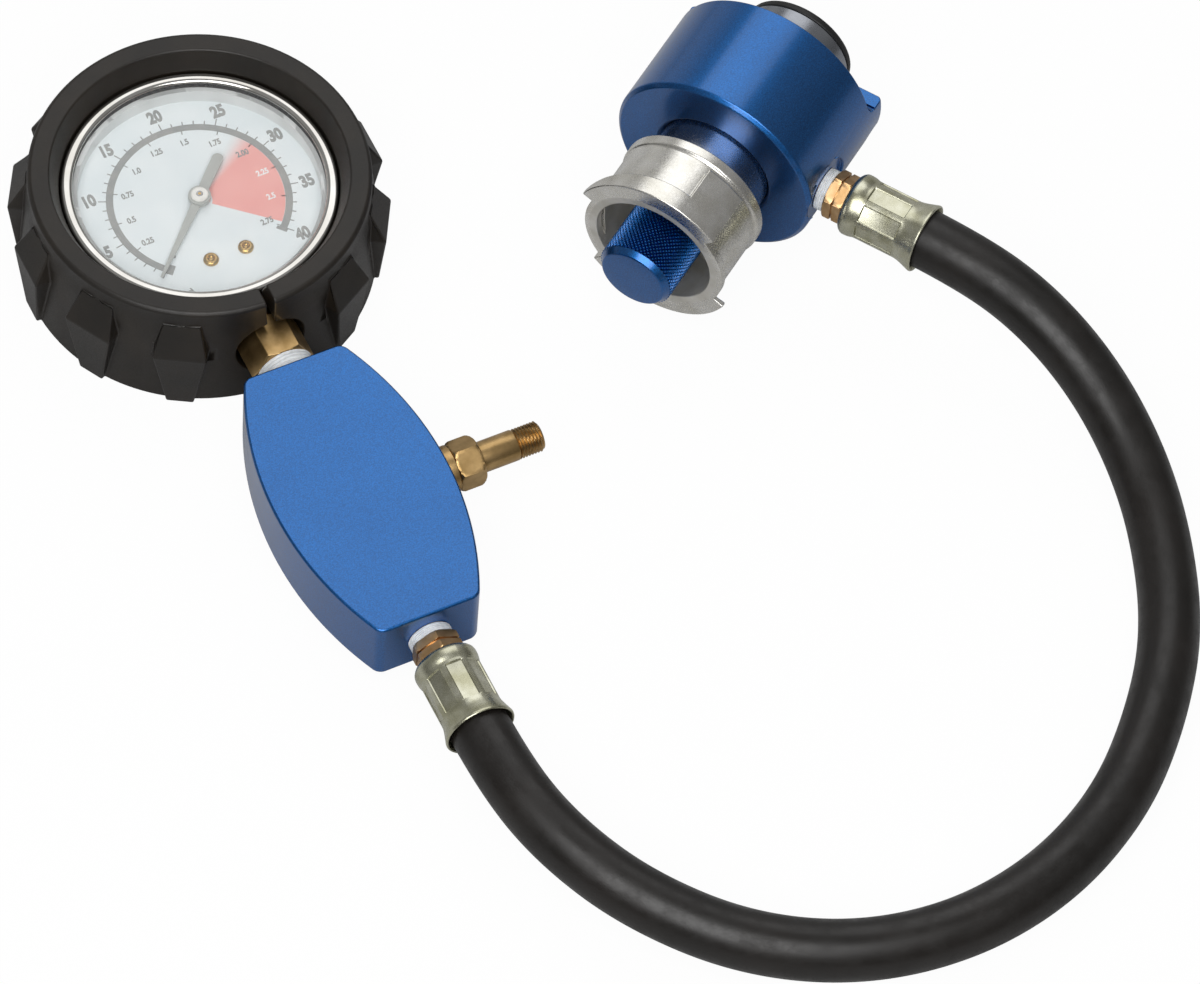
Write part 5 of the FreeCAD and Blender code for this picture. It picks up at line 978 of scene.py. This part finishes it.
# The grain fades on the machined face of the flange, and in the bore, where no stone rolls
FLANGE_BACK = -29.4
FLANGE_FADE = 0.3
BORE_REACH = 18.3
BORE_FADE = 0.5
GRAIN_LEFT = 0.1
BORE_ROUGH = 0.6
cast_from_head = add_node(cast_tree, "ShaderNodeVectorMath", {"operation": "SUBTRACT"},
                          {0: cast_place, 1: HEAD_SPOT * MM})
cast_along = add_node(cast_tree, "ShaderNodeVectorMath", {"operation": "DOT_PRODUCT"},
                      {0: cast_from_head, 1: HEAD_WAY}).outputs["Value"]
cast_across = add_node(cast_tree, "ShaderNodeVectorMath", {"operation": "CROSS_PRODUCT"},
                       {0: cast_from_head, 1: HEAD_WAY})
cast_reach = add_node(cast_tree, "ShaderNodeVectorMath", {"operation": "LENGTH"},
                      {0: cast_across}).outputs["Value"]
bore_edge = {"Value": cast_reach, "From Min": (BORE_REACH - BORE_FADE) * MM,
             "From Max": BORE_REACH * MM}
behind_face = add_node(cast_tree, "ShaderNodeMapRange", {},
                       {"Value": cast_along, "From Min": (FLANGE_BACK - FLANGE_FADE) * MM,
                        "From Max": FLANGE_BACK * MM, "To Min": GRAIN_LEFT, "To Max": 1.0})
outside_bore = add_node(cast_tree, "ShaderNodeMapRange", {},
                        {**bore_edge, "To Min": GRAIN_LEFT, "To Max": 1.0})
grain_height = add_node(cast_tree, "ShaderNodeMath", {"operation": "MINIMUM"},
                        {0: behind_face, 1: outside_bore})
cast_tree.links.new(grain_height.outputs[0], cast_bump.inputs["Strength"])
# For the same reason the bore stays as dull as it came from the die
bore_rough = add_node(cast_tree, "ShaderNodeMapRange", {},
                      {**bore_edge, "To Min": BORE_ROUGH, "To Max": 0.0})
tumbled_rough = cast_shader.inputs["Roughness"].links[0].from_socket
cast_rough = add_node(cast_tree, "ShaderNodeMath", {"operation": "MAXIMUM"},
                      {0: tumbled_rough, 1: bore_rough})
cast_tree.links.new(cast_rough.outputs[0], cast_shader.inputs["Roughness"])
dressed("neck", "filler_neck", cast_metal, 0.35, 2, 24)

# --------------------------------------------------------------------------------------------------
# Plug: a knob turned from aluminium bar, with a rolled diamond knurl, a chamfered front and a bare
# face, anodised blue. Its thread screws it down in the neck on a washer and an O-ring.
# --------------------------------------------------------------------------------------------------
DOWN_HEAD = stance(HEAD_SPOT, HEAD_WAY, UP)
KNURL_ROUND = 54
KNURL_LOW = -38.3
KNURL_HIGH = -18.9
KNURL_CREST = 9.9
KNURL_DEPTH = 0.65
KNURL_LAND = 0.42
DIAMOND_STEPS = 4


def knurl_tree():
    """Geometry Nodes: a grid rolled to a tube and sunk along two hands of slanting grooves.

    A diamond is four columns wide and four rows high, with a small flat land on its middle."""
    tree, given = new_tree("diamond_knurl", {
        "Columns": "Int", "Rows": "Int", "Crest radius": "Float", "Depth": "Float",
        "Land": "Float", "Low end": "Float", "High end": "Float", "Surface": "Material"})
    grid = add_node(tree, "GeometryNodeMeshGrid", {},
                    {"Size X": 1.0, "Size Y": 1.0,
                     "Vertices X": given["Columns"], "Vertices Y": given["Rows"]})
    index = add_node(tree, "GeometryNodeInputIndex")
    row = add_node(tree, "ShaderNodeMath", {"operation": "MODULO"}, {0: index, 1: given["Rows"]})
    column_raw = add_node(tree, "ShaderNodeMath", {"operation": "DIVIDE"},
                          {0: index, 1: given["Rows"]})
    column = add_node(tree, "ShaderNodeMath", {"operation": "FLOOR"}, {0: column_raw})
    last_column, last_row = (add_node(tree, "ShaderNodeMath", {"operation": "SUBTRACT"},
                                      {0: given[side], 1: 1.0}) for side in ("Columns", "Rows"))
    share_round = add_node(tree, "ShaderNodeMath", {"operation": "DIVIDE"},
                           {0: column, 1: last_column})
    angle = add_node(tree, "ShaderNodeMath", {"operation": "MULTIPLY"},
                     {0: share_round, 1: 2 * math.pi})
    share_up = add_node(tree, "ShaderNodeMath", {"operation": "DIVIDE"}, {0: row, 1: last_row})
    height = add_node(tree, "ShaderNodeMapRange", {},
                      {"Value": share_up, "To Min": given["Low end"],
                       "To Max": given["High end"]})
    hands = [add_node(tree, "ShaderNodeMath", {"operation": hand}, {0: column, 1: row})
             for hand in ("ADD", "SUBTRACT")]
    from_crest = [add_node(tree, "ShaderNodeMath", {"operation": "PINGPONG"},
                           {0: hand, 1: DIAMOND_STEPS / 2}) for hand in hands]
    nearest = add_node(tree, "ShaderNodeMath", {"operation": "MAXIMUM"},
                       {0: from_crest[0], 1: from_crest[1]})
    sunk = add_node(tree, "ShaderNodeMapRange", {},
                    {"Value": nearest, "From Min": given["Land"], "From Max": DIAMOND_STEPS / 2,
                     "To Min": 0.0, "To Max": given["Depth"]})
    reach = add_node(tree, "ShaderNodeMath", {"operation": "SUBTRACT"},
                     {0: given["Crest radius"], 1: sunk})
    spot = spot_about(tree, reach, angle, height)
    rolled = add_node(tree, "GeometryNodeSetPosition", {}, {"Geometry": grid, "Position": spot})
    seamed = add_node(tree, "GeometryNodeMergeByDistance", {},
                      {"Geometry": rolled, "Distance": 0.001})
    creased = add_node(tree, "GeometryNodeTriangulate", {}, {"Mesh": seamed})
    real = add_node(tree, "GeometryNodeRealizeInstances", {}, {0: creased})
    covered = add_node(tree, "GeometryNodeSetMaterial", {},
                       {"Geometry": real, "Material": given["Surface"]})
    add_node(tree, "NodeGroupOutput", {}, {0: covered})
    return tree


knurl_space = 2 * math.pi * KNURL_CREST / KNURL_ROUND
knurl_mesh = grown("knurl", knurl_tree(), {
    "Columns": DIAMOND_STEPS * KNURL_ROUND + 1,
    "Rows": DIAMOND_STEPS * int((KNURL_HIGH - KNURL_LOW) / knurl_space) + 1,
    "Crest radius": KNURL_CREST, "Depth": KNURL_DEPTH, "Land": 2 * KNURL_LAND,
    "Low end": KNURL_LOW, "High end": KNURL_HIGH, "Surface": anodised_blue})
KNOB_ENDS = {
    # where the knurl ends: radius and height on from there, to the face or down the thread
    KNURL_LOW: ((9.62, -38.42), (9.5, -38.6), (8.6, -39.85), (8.35, -39.97), (8.1, -40.0),
                (4.0, -40.0)),
    KNURL_HIGH: ((9.5, -18.75), (9.5, -18.67), (11.3, -18.67), (11.5, -18.45), (11.5, -16.4),
                 (11.3, -16.2), (7.7, -16.17), (7.5, -7.3), (7.3, -7.2), (3.0, -7.2)),
}
knob = bmesh.new()
knob.from_mesh(knurl_mesh)
rims = {end: [vert for vert in knob.verts if abs(vert.co.z - end) < 1e-4] for end in KNOB_ENDS}
for end, profile in KNOB_ENDS.items():
    row = sorted(rims[end], key=lambda vert: math.atan2(vert.co.y, vert.co.x))
    for radius, height in profile:
        after = [knob.verts.new(about(radius, math.atan2(vert.co.y, vert.co.x), height))
                 for vert in row]
        bridge(knob, row, after)
        row = after
    close(knob, row, (0, 0, profile[-1][1]))
bmesh.ops.recalc_face_normals(knob, faces=knob.faces)
for face in knob.faces:
    face.smooth = not KNURL_LOW < face.calc_center_median().z < KNURL_HIGH
for edge in knob.edges:
    edge.smooth = edge.calc_face_angle() < math.radians(24)
knob_mesh = shaped("knob", knob, anodised_blue)
knob_mesh.transform(DOWN_HEAD)
fit(new_object("knob", knob_mesh), "plug_knob")
